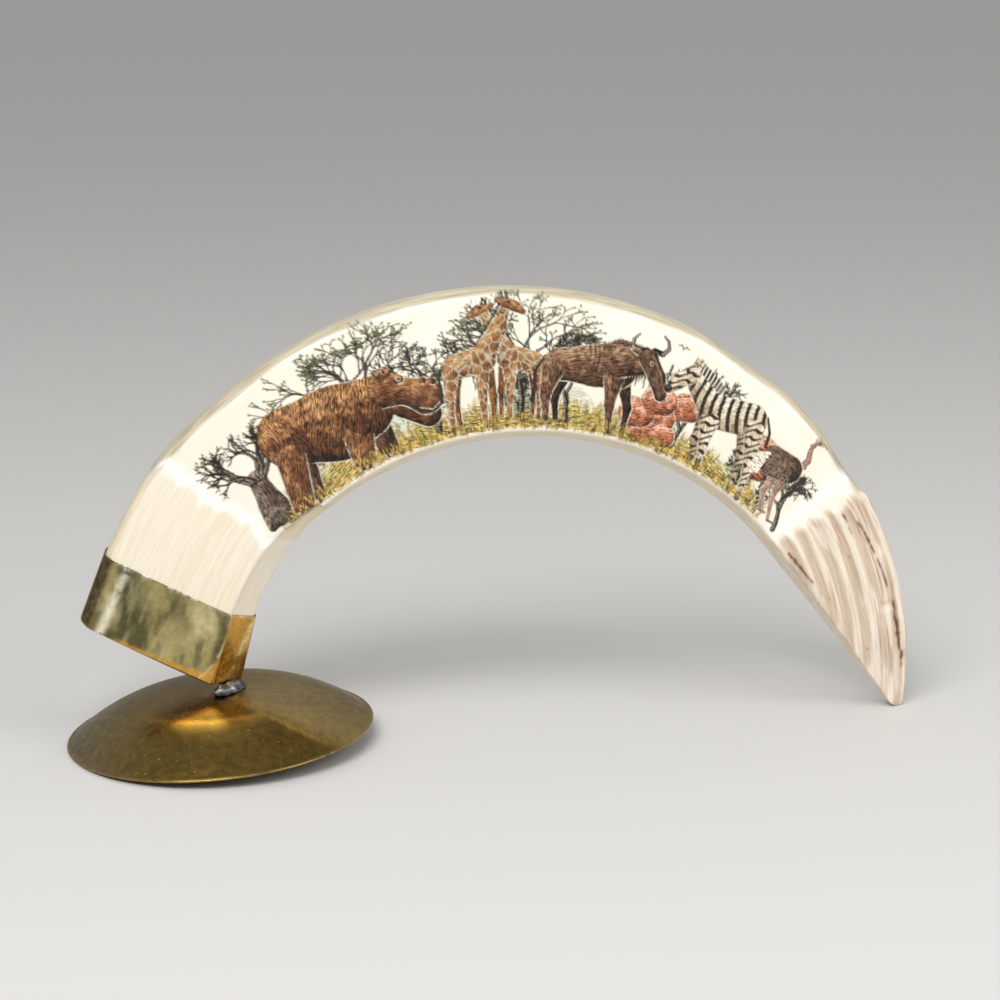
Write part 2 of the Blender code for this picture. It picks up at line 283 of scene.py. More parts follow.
def section(angle, corner_steps=CORNER_STEPS, edge_steps=EDGE_STEPS, grow=0.0, lean=0.0, relief=True):
    drawn_in = tip_rounding(angle)
    wide = section_width(angle) + 2.0 * (grow - drawn_in)
    thick = section_thickness(angle) + 2.0 * (grow - drawn_in)
    corners = np.array(SECTION_CORNERS)
    corners[1, 0] += (FRONT_EDGE_ROOT - FRONT_EDGE_BODY) * root_share(angle) ** FRONT_EDGE_POWER
    corners = corners * np.array([wide, thick]) - np.array([grow, 0.0])
    radii = np.array(CORNER_RADII) * min(wide, thick)
    points, normals = rounded_outline(corners, radii, corner_steps, edge_steps)
    depth = points[:, 0]
    crown = FACE_CROWN * (1.0 - (2.0 * np.clip(depth / wide, 0.0, 1.0) - 1.0) ** 2)
    on_front = smooth_step(-normals[:, 1], *FRONT_FACING) * thick / BODY_THICKNESS
    away_from_wear = 1.0 - smooth_step(normals[:, 0], *WEAR_FACING)
    lift = crown * on_front
    if relief:
        lift = lift + enamel_relief(angle, depth, wide) * away_from_wear
    points = points + normals * lift[:, None]
    along = section_direction(angle)
    start = outer_point(angle) + drawn_in * along
    across = np.array([-along[1], along[0]])
    plane = start[None, :] + points[:, :1] * along + (points[:, 1:] * tan(lean)) * across
    ring = np.column_stack([plane[:, 0], points[:, 1], plane[:, 1]])
    facts = np.column_stack([np.full(len(ring), angle), depth, depth / wide, normals])
    return ring, facts


def tooth_stations():
    body = np.linspace(RING_ANGLE, PICTURE_START, ROOT_FINE_STATIONS + 1)
    picture = np.linspace(PICTURE_START, PICTURE_END, PICTURE_STATIONS + 1)
    tip = np.linspace(PICTURE_END, TIP_ANGLE - TIP_ROUNDING_ANGLE, TIP_FINE_STATIONS + 1)
    turns = np.linspace(0.0, 0.5 * pi, ROUND_STATIONS + 1)
    end = TIP_ANGLE - TIP_ROUNDING_ANGLE * (1.0 - np.sin(turns))
    return [*body[1:], *picture[1:], *tip[1:], *end[1:]]


def tooth_rings():
    """Every ring of the fine tooth, with the facts that the painting needs of each point."""
    bottom, bottom_facts = section(COLLAR_BOTTOM_ANGLE, lean=COLLAR_BOTTOM_LEAN)
    top, top_facts = section(RING_ANGLE, lean=COLLAR_RING_LEAN)
    length = np.linalg.norm((top - bottom).mean(axis=0))
    first = COLLAR_CLEARANCE / length
    rings = []
    for share in np.linspace(first, 1.0, ROOT_STATIONS + 1):
        rings.append((bottom + (top - bottom) * share,
                      bottom_facts + (top_facts - bottom_facts) * share))
    for angle in tooth_stations():
        rings.append(section(angle))
    return rings


def face_loops(rows, count):
    """Faces of the loft. The side away from the picture is coarser, with longer faces."""
    faces = []

    def point(row, column):
        return row * count + column % count

    for row in range(rows - 1):
        for column in range(FRONT_COLUMNS):
            faces.append((point(row, column), point(row, column + 1),
                          point(row + 1, column + 1), point(row + 1, column)))
    for row in range(0, rows - 1, COARSE_ROWS):
        last = min(row + COARSE_ROWS, rows - 1)
        near = [point(step, FRONT_COLUMNS) for step in range(last, row - 1, -1)]
        faces.append((*near, point(row, FRONT_COLUMNS + 1), point(last, FRONT_COLUMNS + 1)))
        for column in range(FRONT_COLUMNS + 1, count - 1):
            faces.append((point(row, column), point(row, column + 1),
                          point(last, column + 1), point(last, column)))
        far = [point(step, 0) for step in range(row, last + 1)]
        faces.append((point(last, count - 1), point(row, count - 1), *far))
    faces.append(tuple(point(0, column) for column in range(count - 1, -1, -1)))
    faces.append(tuple(point(rows - 1, column) for column in range(count)))
    return faces


def arch_shift():
    """How far the side view's origin lies from the frame's, by the tooth's end of the box."""
    angles = np.linspace(pi * 0.93, TIP_ANGLE, 60)
    ends = [section(angle)[0][:, 0].max() for angle in angles]
    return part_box("tooth")[1][0] - max(ends)


class Canvas:
    """The tooth's points with the colour, hatching and gloss that the painting gives them."""

    def __init__(self, points, facts, shift):
        self.shift = shift
        self.x = points[:, 0] * 1000.0
        self.z = points[:, 2] * 1000.0
        self.angle = facts[:, 0]
        self.depth = facts[:, 1] * 1000.0
        self.share = facts[:, 2]
        self.normal = facts[:, 3:5]
        self.colour = np.ones((len(points), 3))
        self.hatch = np.zeros(len(points))
        self.direction = np.column_stack([np.sin(self.angle), np.cos(self.angle)])
        self.rough = np.full(len(points), 0.25)
        self.streak = np.full(len(points), 0.04)
        self.front = smooth_step(-facts[:, 4], 0.35, 0.8)
        self.painted_side = smooth_step(-facts[:, 4], 0.0, 0.4)

    def lay(self, where, cover, colour, hatch=None, direction=None):
        """Lay a colour over the points picked by where, as thick as cover says."""
        cover = cover * self.front[where]
        colour = np.broadcast_to(np.asarray(colour, dtype=float), (len(cover), 3))
        self.colour[where] += (colour - self.colour[where]) * cover[:, None]
        if hatch is not None:
            self.hatch[where] += (hatch - self.hatch[where]) * cover
        if direction is not None:
            mixed = self.direction[where] * (1 - cover[:, None]) + direction * cover[:, None]
            self.direction[where] = mixed

    def near(self, low, high):
        inside = (self.x > low[0]) & (self.x < high[0]) & (self.z > low[1]) & (self.z < high[1])
        return np.flatnonzero(inside & (self.front > 0.0))


class Place:
    """A figure's own frame on the tooth: x along the arch, y outward, in shares of its size."""

    def __init__(self, canvas, degrees, depth_share, size, facing=1.0, lean=0.0):
        angle = radians(degrees)
        along = section_direction(angle)
        foot = outer_point(angle) + along * section_width(angle) * depth_share
        shift = np.array([canvas.shift * 1000.0, 0.0])
        self.canvas = canvas
        self.origin = foot * 1000.0 + shift
        self.up = np.array(turned_by(lean, -along[0], -along[1]))
        self.side = np.array([self.up[1], -self.up[0]]) * facing
        self.size = size
        self.centre = ARC_CENTRE * 1000.0 + shift

    def ground(self, x):
        """Height of the ground at x, where it bends away with the tooth's inner edge."""
        foot = self.origin - self.centre
        point = foot + self.size * x * self.side
        along = point @ self.up
        root = sqrt(max(0.0, along * along - point @ point + foot @ foot))
        return (root - along) / self.size

    def world(self, point):
        return self.origin + self.size * (point[0] * self.side + point[1] * self.up)

    def points_near(self, spots, reach):
        world = np.array([self.world(spot) for spot in spots])
        margin = reach * self.size + 1.5
        return self.canvas.near(world.min(axis=0) - margin, world.max(axis=0) + margin)

    def local(self, where):
        offset = np.column_stack([self.canvas.x[where], self.canvas.z[where]]) - self.origin
        return np.column_stack([offset @ self.side, offset @ self.up]) / self.size


def limb_distance(points, limb):
    """Distance to a tapered limb, with the offset from its axis and the axis's direction."""
    x0, y0, r0, x1, y1, r1 = limb
    start = np.array([x0, y0])
    axis = np.array([x1, y1]) - start
    length = max(1e-9, np.hypot(*axis))
    share = np.clip(((points - start) @ axis) / (length * length), 0.0, 1.0)
    radius = r0 + (r1 - r0) * share
    offset = points - (start + share[:, None] * axis)
    distance = np.hypot(offset[:, 0], offset[:, 1]) - radius
    return distance, offset / radius[:, None], axis / length


# Light in the picture, and the millimetres over which a painted edge fades on each side
LIGHT = np.array([-0.35, 0.75])
SOFT_EDGE = 0.2
LINE_CREAM = (0.78, 0.70, 0.56)
INK = (0.035, 0.025, 0.02)


def body(place, limbs, colours, softness=0.04, hatch=0.8, outline=0.28, cream=0.0, pattern=None,
         tilt=0.0, shade=1.0):
    """Fill the smooth union of some limbs, shaded as a round form, and draw its outline."""
    spots = [spot for limb in limbs for spot in ((limb[0], limb[1]), (limb[3], limb[4]))]
    reach = max(max(limb[2], limb[5]) for limb in limbs)
    where = place.points_near(spots, reach)
    if not len(where):
        return
    points = place.local(where)
    total = np.zeros(len(points))
    lean = np.zeros((len(points), 2))
    grain = np.zeros((len(points), 2))
    for limb in limbs:
        distance, offset, axis = limb_distance(points, limb)
        weight = np.exp(-np.clip(distance / softness, -30, 30))
        total += weight
        lean += weight[:, None] * offset
        if axis[0] < 0:
            axis = -axis
        grain += weight[:, None] * axis
    distance = -softness * np.log(total) * place.size
    lean /= total[:, None]
    inward = np.clip(np.hypot(lean[:, 0], lean[:, 1]), 0.0, 1.0)
    facing = np.sqrt(1.0 - inward ** 2)
    lit = np.clip(lean @ LIGHT * 0.85 + facing * 0.35, -0.6, 1.0)
    world = np.column_stack([place.canvas.x[where], place.canvas.z[where]])
    mottle = layered_noise(world[:, 0] * 0.45, world[:, 1] * 0.45, 21) - 0.5
    tone = np.clip(0.34 * shade + 0.60 * lit + 0.80 * mottle, 0.0, 1.0)
    dark, middle, light = (np.array(colour) for colour in colours)
    low = np.clip(tone * 2.0, 0.0, 1.0)[:, None]
    high = np.clip(tone * 2.0 - 1.0, 0.0, 1.0)[:, None]
    colour = dark + (middle - dark) * low + (light - middle) * high
    if pattern is not None:
        colour = pattern(points, colour)
    grain = grain[:, :1] * place.side + grain[:, 1:] * place.up
    grain /= np.maximum(1e-6, np.hypot(grain[:, 0], grain[:, 1]))[:, None]
    turned = np.column_stack(turned_by(tilt, grain[:, 0], grain[:, 1]))
    if cream:
        x0, y0, _, x1, y1, _ = limbs[0]
        axis = np.array([x1 - x0, y1 - y0])
        ahead = ((points - np.array([x0, y0])) @ axis) / (axis @ axis)
        gaps = value_noise(world[:, 0] * 0.5, world[:, 1] * 0.5, 23)
        broken = 0.55 + 0.45 * smooth_step(gaps, 0.25, 0.5)
        rim = (1.0 - smooth_step(distance, 0.15, 0.15 + cream)) * smooth_step(ahead, -0.25, 0.3)
        place.canvas.lay(where, rim * broken, LINE_CREAM, 0.0)
    cover = 1.0 - smooth_step(distance, -SOFT_EDGE, SOFT_EDGE)
    place.canvas.lay(where, cover, colour, hatch, turned)
    if outline:
        line = bell(distance, -0.05, 0.26) * outline
        place.canvas.lay(where, line, np.array(dark) * 0.45)


def stroke(place, points, width, colour, cover=1.0, hatch=None):
    """A painted line through some points, with a width in millimetres at its start and end."""
    first, last = width if isinstance(width, tuple) else (width, width)
    count = len(points) - 1
    for index in range(count):
        near = (first + (last - first) * index / count) * 0.5
        far = (first + (last - first) * (index + 1) / count) * 0.5
        p0, p1 = points[index], points[index + 1]
        where = place.points_near([p0, p1], max(near, far) / place.size)
        if not len(where):
            continue
        limb = (p0[0], p0[1], near / place.size, p1[0], p1[1], far / place.size)
        distance = limb_distance(place.local(where), limb)[0] * place.size
        amount = (1.0 - smooth_step(distance, -0.16, 0.24)) * cover
        place.canvas.lay(where, amount, colour, hatch)


def spot(place, x, y, radius, colour, cover=1.0):
    where = place.points_near([(x, y)], radius)
    if len(where):
        dot = (x, y, radius, x, y, radius)
        distance = limb_distance(place.local(where), dot)[0] * place.size
        amount = (1.0 - smooth_step(distance, -SOFT_EDGE, SOFT_EDGE)) * cover
        place.canvas.lay(where, amount, colour, 0.1)


# Dark, middle and light of each coat in the picture, then its single colours
RUST = ((0.022, 0.010, 0.007), (0.135, 0.052, 0.022), (0.46, 0.24, 0.10))
TAN = ((0.07, 0.028, 0.010), (0.27, 0.115, 0.040), (0.60, 0.36, 0.16))
GREY_BROWN = ((0.022, 0.012, 0.008), (0.125, 0.060, 0.033), (0.42, 0.26, 0.15))
DARK_BROWN = ((0.010, 0.006, 0.005), (0.050, 0.026, 0.015), (0.22, 0.13, 0.08))
STRIPED = ((0.26, 0.19, 0.12), (0.62, 0.51, 0.36), (0.84, 0.78, 0.66))
ROCK = ((0.13, 0.035, 0.018), (0.44, 0.15, 0.075), (0.82, 0.50, 0.35))
BARK = ((0.022, 0.016, 0.014), (0.11, 0.075, 0.055), (0.36, 0.28, 0.21))
SKIN = ((0.13, 0.06, 0.04), (0.36, 0.21, 0.15), (0.66, 0.48, 0.38))
OLIVE = (0.27, 0.26, 0.035)
STRAW = (0.52, 0.33, 0.09)
LEAF = (0.11, 0.15, 0.05)
BUSH = (0.13, 0.20, 0.09)
HILL_GREEN = (0.42, 0.50, 0.36)
STRIPE_BLACK = (0.030, 0.018, 0.012)


def leg(place, hip, knee, foot, thick, coat, shade=1.0, cream=0.4, pattern=None, hatch=0.9):
    """One leg through its hip, knee and foot on the ground, with a small dark hoof."""
    hip_radius, knee_radius, foot_radius = thick
    drop = place.ground(foot[0])
    knee = (knee[0], knee[1] + 0.6 * drop)
    foot = (foot[0], foot[1] + drop)
    limbs = [(*hip, hip_radius, *knee, knee_radius), (*knee, knee_radius, *foot, foot_radius)]
    body(place, limbs, coat, 0.02, hatch, shade=shade, cream=cream, pattern=pattern)
    spot(place, foot[0] + foot_radius * 0.2, foot[1] - foot_radius * 0.3, foot_radius * 1.05, INK, 0.85)


def heavy_leg(place, hip, foot, thick, coat, shade=1.0):
    """A stout leg with toes, as a hippo has."""
    foot = (foot[0], foot[1] + place.ground(foot[0]))
    body(place, [(*hip, thick, *foot, thick * 0.78)], coat, 0.05, 1.0, cream=0.45, shade=shade)
    for toe in (-0.5, 0.0, 0.5):
        spot(place, foot[0] + toe * thick, foot[1] - 0.55 * thick, 0.026, (0.50, 0.40, 0.28))


def hippo(place):
    heavy_leg(place, (-0.44, 0.42), (-0.42, 0.09), 0.15, GREY_BROWN, 0.2)
    heavy_leg(place, (0.50, 0.42), (0.55, 0.09), 0.15, GREY_BROWN, 0.2)
    trunk = [(-0.54, 0.66, 0.33, 0.05, 0.64, 0.39), (0.05, 0.64, 0.39, 0.42, 0.70, 0.33)]
    body(place, trunk, RUST, 0.06, 1.0, cream=0.4, tilt=1.2)
    body(place, [(-0.58, 0.62, 0.26, -0.52, 0.36, 0.19)], RUST, 0.06, 1.0, outline=0.12, tilt=0.4)
    heavy_leg(place, (-0.56, 0.40), (-0.58, 0.10), 0.17, RUST)
    heavy_leg(place, (0.26, 0.42), (0.24, 0.10), 0.17, RUST)
    body(place, [(0.42, 0.72, 0.31, 0.72, 0.80, 0.24)], RUST, 0.06, 1.0, outline=0.1, tilt=1.1)
    body(place, [(0.84, 0.60, 0.13, 1.10, 0.43, 0.150)], RUST, 0.04, 0.7, cream=0.5, shade=0.5)
    head = [(0.70, 0.83, 0.20, 0.92, 0.75, 0.135), (0.92, 0.75, 0.135, 1.12, 0.63, 0.205)]
    body(place, head, RUST, 0.025, 0.7, cream=0.5)
    body(place, [(1.10, 0.70, 0.13, 1.17, 0.60, 0.15)], RUST, 0.03, 0.5, outline=0.15, shade=1.3)
    for fold in range(5):
        x = 0.34 + 0.075 * fold
        points = [(x, 1.01 - 0.04 * fold), (x + 0.05, 0.76), (x - 0.01, 0.44)]
        stroke(place, points, (0.35, 0.2), RUST[0], 0.55)
    stroke(place, [(1.28, 0.49), (1.16, 0.43), (1.02, 0.49), (0.90, 0.61)], 0.6, INK, 0.9)
    stroke(place, [(1.27, 0.52), (1.16, 0.46), (1.03, 0.52)], 0.35, LINE_CREAM, 0.7)
    for x in (0.66, 0.78):
        body(place, [(x, 1.01, 0.045, x - 0.015, 1.05, 0.036)], RUST, cream=0.3)
        spot(place, x, 1.035, 0.022, (0.45, 0.22, 0.14))
    body(place, [(0.86, 0.91, 0.05, 0.90, 0.90, 0.045)], RUST, cream=0.3)
    spot(place, 0.885, 0.905, 0.030, (0.55, 0.42, 0.28))
    spot(place, 0.89, 0.905, 0.018, INK)
    for x in (1.14, 1.24):
        drop = 0.4 * (x - 1.14)
        body(place, [(x, 0.815 - drop, 0.04, x + 0.02, 0.80 - drop, 0.035)], RUST, cream=0.3)
        spot(place, x + 0.02, 0.81 - drop, 0.02, INK)
    for row in range(3):
        for column in range(4):
            spot(place, 1.12 + 0.055 * column, 0.57 + 0.045 * row, 0.010, INK, 0.7)
    stroke(place, [(-0.84, 0.78), (-0.90, 0.62), (-0.87, 0.50)], (0.9, 0.4), RUST[0])


def cells(points, scale, seed):
    """Distance to the nearest and the second nearest of some scattered spots."""
    table = noise_table(seed)
    x, y = points[:, 0] * scale, points[:, 1] * scale
    x0, y0 = np.floor(x).astype(int), np.floor(y).astype(int)
    found = []
    for i in (-1, 0, 1):
        for j in (-1, 0, 1):
            u, v = (x0 + i) % 64, (y0 + j) % 64
            found.append(np.hypot(x0 + i + table[u, v] - x, y0 + j + table[v, u] - y))
    found = np.sort(np.array(found), axis=0)
    return found[0], found[1]


def patched(points, colour):
    first, second = cells(points, 7.5, 31)
    line = smooth_step(second - first, 0.06, 0.20)[:, None]
    return np.array((0.74, 0.62, 0.42)) * (1 - line) * (0.5 + 0.5 * colour[:, :1]) + colour * line


def giraffe(place, coat):
    leg(place, (-0.24, 0.86), (-0.27, 0.44), (-0.23, 0.04), (0.10, 0.045, 0.032), coat, 0.2)
    leg(place, (0.22, 0.86), (0.27, 0.44), (0.26, 0.04), (0.09, 0.045, 0.032), coat, 0.2)
    stroke(place, [(-0.44, 0.92), (-0.50, 0.74), (-0.47, 0.56), (-0.47, 0.42)], (0.7, 1.4), INK)
    body(place, [(-0.27, 0.88, 0.17, 0.16, 0.98, 0.19)], coat, 0.04, 0.4, pattern=patched, cream=0.4)
    for hip, knee, foot in (((-0.32, 0.82), (-0.36, 0.44), (-0.34, 0.04)),
                            ((0.13, 0.86), (0.12, 0.44), (0.13, 0.04))):
        leg(place, hip, knee, foot, (0.115, 0.052, 0.038), coat, pattern=patched, hatch=0.35)
    neck = [(0.18, 1.04, 0.17, 0.42, 1.40, 0.095), (0.42, 1.40, 0.095, 0.55, 1.70, 0.065)]
    body(place, neck, coat, 0.03, 0.4, pattern=patched, cream=0.4)
    mane = [(0.06, 1.17), (0.18, 1.34), (0.30, 1.50), (0.40, 1.64), (0.49, 1.78)]
    stroke(place, mane, 0.7, DARK_BROWN[1], 0.9)
    body(place, [(0.42, 1.79, 0.035, 0.50, 1.75, 0.03)], coat)
    head = [(0.55, 1.74, 0.075, 0.68, 1.68, 0.055), (0.68, 1.68, 0.055, 0.79, 1.60, 0.042)]
    body(place, head, coat, 0.03, cream=0.4)
    for x in (0.52, 0.58):
        stroke(place, [(x, 1.80), (x - 0.02, 1.89)], (0.8, 1.1), INK)
    spot(place, 0.60, 1.745, 0.024, INK)
    spot(place, 0.795, 1.61, 0.014, INK)


def wildebeest(place):
    leg(place, (-0.40, 0.56), (-0.46, 0.30), (-0.42, 0.04), (0.10, 0.042, 0.032), DARK_BROWN, 0.2)
    leg(place, (0.34, 0.58), (0.42, 0.32), (0.38, 0.04), (0.09, 0.042, 0.032), DARK_BROWN, 0.2)
    tail = [(-0.62, 0.78), (-0.72, 0.60), (-0.70, 0.40), (-0.72, 0.26)]
    stroke(place, tail, (1.0, 1.9), INK)
    trunk = [(-0.46, 0.70, 0.18, 0.0, 0.73, 0.21), (0.0, 0.73, 0.21, 0.24, 0.76, 0.27)]
    body(place, trunk, GREY_BROWN, 0.05, cream=0.45)
    leg(place, (-0.52, 0.62), (-0.57, 0.32), (-0.54, 0.04), (0.13, 0.05, 0.036), GREY_BROWN)
    leg(place, (0.22, 0.60), (0.20, 0.32), (0.22, 0.04), (0.12, 0.048, 0.036), GREY_BROWN)
    for band in range(9):
        x = -0.10 + 0.055 * band
        points = [(x, 0.97), (x + 0.02, 0.84), (x - 0.01, 0.68 - 0.01 * band)]
        stroke(place, points, (0.7, 0.3), DARK_BROWN[0], 0.7)
    body(place, [(0.28, 0.84, 0.22, 0.58, 0.84, 0.15)], GREY_BROWN, 0.05, cream=0.4)
    for strand in range(9):
        share = strand / 8
        x, y = 0.40 + 0.26 * share, 0.70 - 0.02 * share
        end = (x - 0.015, y - 0.10 - 0.05 * sin(2.4 * strand))
        stroke(place, [(x, y), end], (0.8, 0.3), DARK_BROWN[0])
    for strand in range(20):
        x = 0.08 + 0.48 * strand / 19
        y = np.interp(x, (0.08, 0.28, 0.56), (0.95, 1.03, 0.97))
        stroke(place, [(x, y - 0.02), (x - 0.03, y + 0.05)], (0.5, 0.25), DARK_BROWN[0], 0.75)
    for side in (-1.0, 1.0):
        middle = 0.63 + 0.02 * side
        horn = [(middle + side * 0.03, 0.97), (middle + side * 0.13, 0.94), (middle + side * 0.20, 1.0),
                (middle + side * 0.19, 1.09), (middle + side * 0.13, 1.15)]
        stroke(place, horn, (2.6, 0.7), DARK_BROWN[0])
        stroke(place, horn[1:], (0.8, 0.2), (0.40, 0.32, 0.24), 0.7)
    body(place, [(0.50, 0.93, 0.035, 0.42, 0.96, 0.02)], GREY_BROWN, cream=0.3)
    head = [(0.62, 0.87, 0.115, 0.74, 0.66, 0.085), (0.74, 0.66, 0.085, 0.80, 0.47, 0.075)]
    body(place, head, DARK_BROWN, 0.03, cream=0.5)
    stroke(place, [(0.66, 0.92), (0.78, 0.70), (0.84, 0.52)], (0.7, 0.3), (0.30, 0.20, 0.12), 0.7)
    spot(place, 0.66, 0.82, 0.028, (0.5, 0.36, 0.2))
    spot(place, 0.66, 0.82, 0.016, INK)
    spot(place, 0.84, 0.46, 0.02, INK)


def ink_stripes(colour, wave, low, high):
    line = smooth_step(np.sin(wave), low, high)[:, None]
    return colour * (1 - line) + np.array(STRIPE_BLACK) * line


def striped(points, colour):
    x, y = points[:, 0], points[:, 1]
    return ink_stripes(colour, x * 46.0 + 2.6 * np.sin(y * 6.0) + 9.0 * y * x, -0.1, 0.45)


def striped_across(points, colour):
    x, y = points[:, 0], points[:, 1]
    return ink_stripes(colour, y * 72.0 + x * 16.0 + 1.6 * np.sin(y * 17.0 + x * 30.0), 0.05, 0.6)


def zebra(place):
    for hip, knee, foot in (((-0.30, 0.58), (-0.33, 0.30), (-0.29, 0.04)),
                            ((0.26, 0.58), (0.31, 0.30), (0.29, 0.04))):
        leg(place, hip, knee, foot, (0.09, 0.045, 0.032), STRIPED, 0.0, 0.0, striped_across, 0.5)
    body(place, [(-0.36, 0.76, 0.205, 0.20, 0.76, 0.21)], STRIPED, 0.04, 0.5, pattern=striped)
    for hip, knee, foot in (((-0.42, 0.66), (-0.46, 0.33), (-0.43, 0.04)),
                            ((0.18, 0.62), (0.18, 0.31), (0.19, 0.04))):
        leg(place, hip, knee, foot, (0.13, 0.05, 0.036), STRIPED, 1.0, 0.3, striped_across, 0.5)
    body(place, [(0.26, 0.86, 0.17, 0.52, 1.10, 0.11)], STRIPED, 0.04, 0.5, cream=0.3, pattern=striped)
    for strand in range(26):
        share = strand / 25
        x, y = 0.12 + 0.36 * share, 1.00 + 0.24 * share
        tone = INK if strand % 3 else LINE_CREAM
        stroke(place, [(x, y - 0.03), (x - 0.04, y + 0.07)], (0.8, 0.5), tone)
    for x in (0.47, 0.53):
        body(place, [(x, 1.22, 0.035, x - 0.02, 1.32, 0.018)], STRIPED, cream=0.2)
    head = [(0.54, 1.13, 0.105, 0.70, 1.00, 0.075), (0.70, 1.00, 0.075, 0.79, 0.90, 0.058)]
    body(place, head, STRIPED, 0.03, 0.5, cream=0.4, pattern=striped_across)
    spot(place, 0.80, 0.89, 0.055, DARK_BROWN[0], 0.9)
    spot(place, 0.60, 1.15, 0.026, INK)
    stroke(place, [(-0.56, 0.84), (-0.63, 0.66), (-0.62, 0.50)], (0.8, 1.6), INK)


def ostrich(place):
    for top, knee, foot in (((-0.05, 0.66), (-0.14, 0.36), (-0.06, 0.03)),
                            ((0.08, 0.66), (0.04, 0.36), (0.14, 0.03))):
        drop = place.ground(foot[0])
        foot = (foot[0], foot[1] + drop)
        knee = (knee[0], knee[1] + 0.5 * drop)
        limbs = [(*top, 0.10, *knee, 0.035), (*knee, 0.035, *foot, 0.022)]
        body(place, limbs, SKIN, 0.02, 0.4, cream=0.3)
        stroke(place, [foot, (foot[0] + 0.10, foot[1] - 0.01)], 0.8, SKIN[0])
    neck = [(0.22, 0.86), (0.32, 0.96), (0.36, 1.08), (0.33, 1.20), (0.33, 1.30), (0.40, 1.38)]
    stroke(place, neck, (3.2, 1.5), SKIN[0])
    stroke(place, neck, (2.4, 0.9), SKIN[1], 1.0, 0.4)
    body(place, [(-0.20, 0.84, 0.24, 0.12, 0.82, 0.22)], DARK_BROWN, 0.05, 1.0, cream=0.4)
    for strand in range(12):
        x, y = -0.30 + 0.042 * strand, 1.00 - 0.016 * strand
        for row in range(3):
            start = (x + 0.02 * row, y - 0.13 * row - 0.012 * (strand % 3))
            middle = (start[0] - 0.015, start[1] - 0.07)
            end = (start[0] - 0.06, start[1] - 0.11)
            stroke(place, [start, middle, end], (0.9, 0.3), (0.20, 0.14, 0.10), 0.7)
    for strand in range(10):
        x, y = -0.36 - 0.01 * strand, 0.92 - 0.04 * strand
        stroke(place, [(x + 0.06, y), (x - 0.12, y - 0.04)], (1.2, 0.5), LINE_CREAM)
        stroke(place, [(x + 0.06, y - 0.02), (x - 0.08, y - 0.06)], 0.3, BARK[1], 0.8)
    body(place, [(0.40, 1.41, 0.055, 0.47, 1.40, 0.04)], SKIN, 0.03, 0.4, cream=0.3)
    stroke(place, [(0.49, 1.40), (0.60, 1.36)], (1.4, 0.6), (0.40, 0.22, 0.10))
    spot(place, 0.43, 1.42, 0.022, INK)


def branch(place, random, start, heading, length, width, depth, spread, flatten=0.0, leaves=False):
    """A crooked branch that forks again and again. Each fork is shorter and thinner."""
    points = [start]
    for _ in range(3):
        heading += random.normal(0.0, 0.15)
        last = points[-1]
        rise = sin(heading) * (1.0 - flatten)
        points.append((last[0] + cos(heading) * length / 3, last[1] + rise * length / 3))
    stroke(place, points, (width, max(0.34, width * 0.72)), BARK[0], min(0.95, 0.62 + 0.4 * width))
    if width > 1.0:
        shifted = [(x - 0.2 * width / place.size, y) for x, y in points]
        stroke(place, shifted, (width * 0.35, width * 0.2), BARK[2], 0.55)
    if depth == 0:
        if leaves:
            spot(place, points[-1][0], points[-1][1], 0.55 / place.size, LEAF, 0.75)
        return
    forks = 2 if random.random() < 0.7 else 3
    for fork in range(forks):
        turn = spread * (fork - (forks - 1) / 2) * (1.0 if forks == 2 else 0.75)
        turn += random.normal(0.0, 0.12)
        branch(place, random, points[-1 if fork != 1 else 2], heading + turn,
               length * random.uniform(0.66, 0.86), max(0.34, width * 0.66), depth - 1, spread,
               min(0.8, flatten * 1.2), leaves)


def bare_tree(place, seed, width=2.4, depth=7, spread=0.75, length=0.26):
    random = np.random.default_rng(seed)
    branch(place, random, (0.0, -0.02), pi / 2, length, width, depth, spread)


def flat_topped_tree(place, seed):
    """A thorn tree: a few stems under a wide flat crown of fine twigs and small leaves."""
    random = np.random.default_rng(seed)
    stroke(place, [(0.0, -0.02), (0.015, 0.16), (-0.01, 0.34)], (2.6, 2.0), BARK[0])
    stroke(place, [(-0.012, 0.0), (0.0, 0.16), (-0.02, 0.34)], (0.8, 0.5), BARK[2], 0.6)
    for heading in (2.45, 1.95, 1.45, 1.0, 0.65):
        branch(place, random, (-0.01, 0.34), heading, 0.30, 1.6, 5, 0.7, 0.16, True)


def baobab(place, seed):
    random = np.random.default_rng(seed)
    trunk = [(0.0, 0.14, 0.13, 0.0, 0.50, 0.09), (-0.12, 0.04, 0.035, -0.04, 0.2, 0.08),
             (0.12, 0.04, 0.035, 0.05, 0.2, 0.08)]
    body(place, trunk, BARK, 0.03, 1.0, cream=0.4)
    for heading, x in ((2.35, -0.07), (1.95, -0.03), (1.45, 0.02), (1.05, 0.05), (0.7, 0.08)):
        branch(place, random, (x, 0.50), heading, 0.17, 2.4, 5, 0.7)


def boulders(place, seed):
    random = np.random.default_rng(seed)
    for index in range(7):
        row = index % 3
        x = random.uniform(-0.4, 0.4) * (1.2 - 0.35 * row)
        size = random.uniform(0.12, 0.18)
        y = 0.42 - 0.20 * row
        stone = (x - size * 0.3, y, size, x + size * 0.3, y, size * 0.9)
        body(place, [stone], ROCK, 0.03, 0.9, cream=0.3)


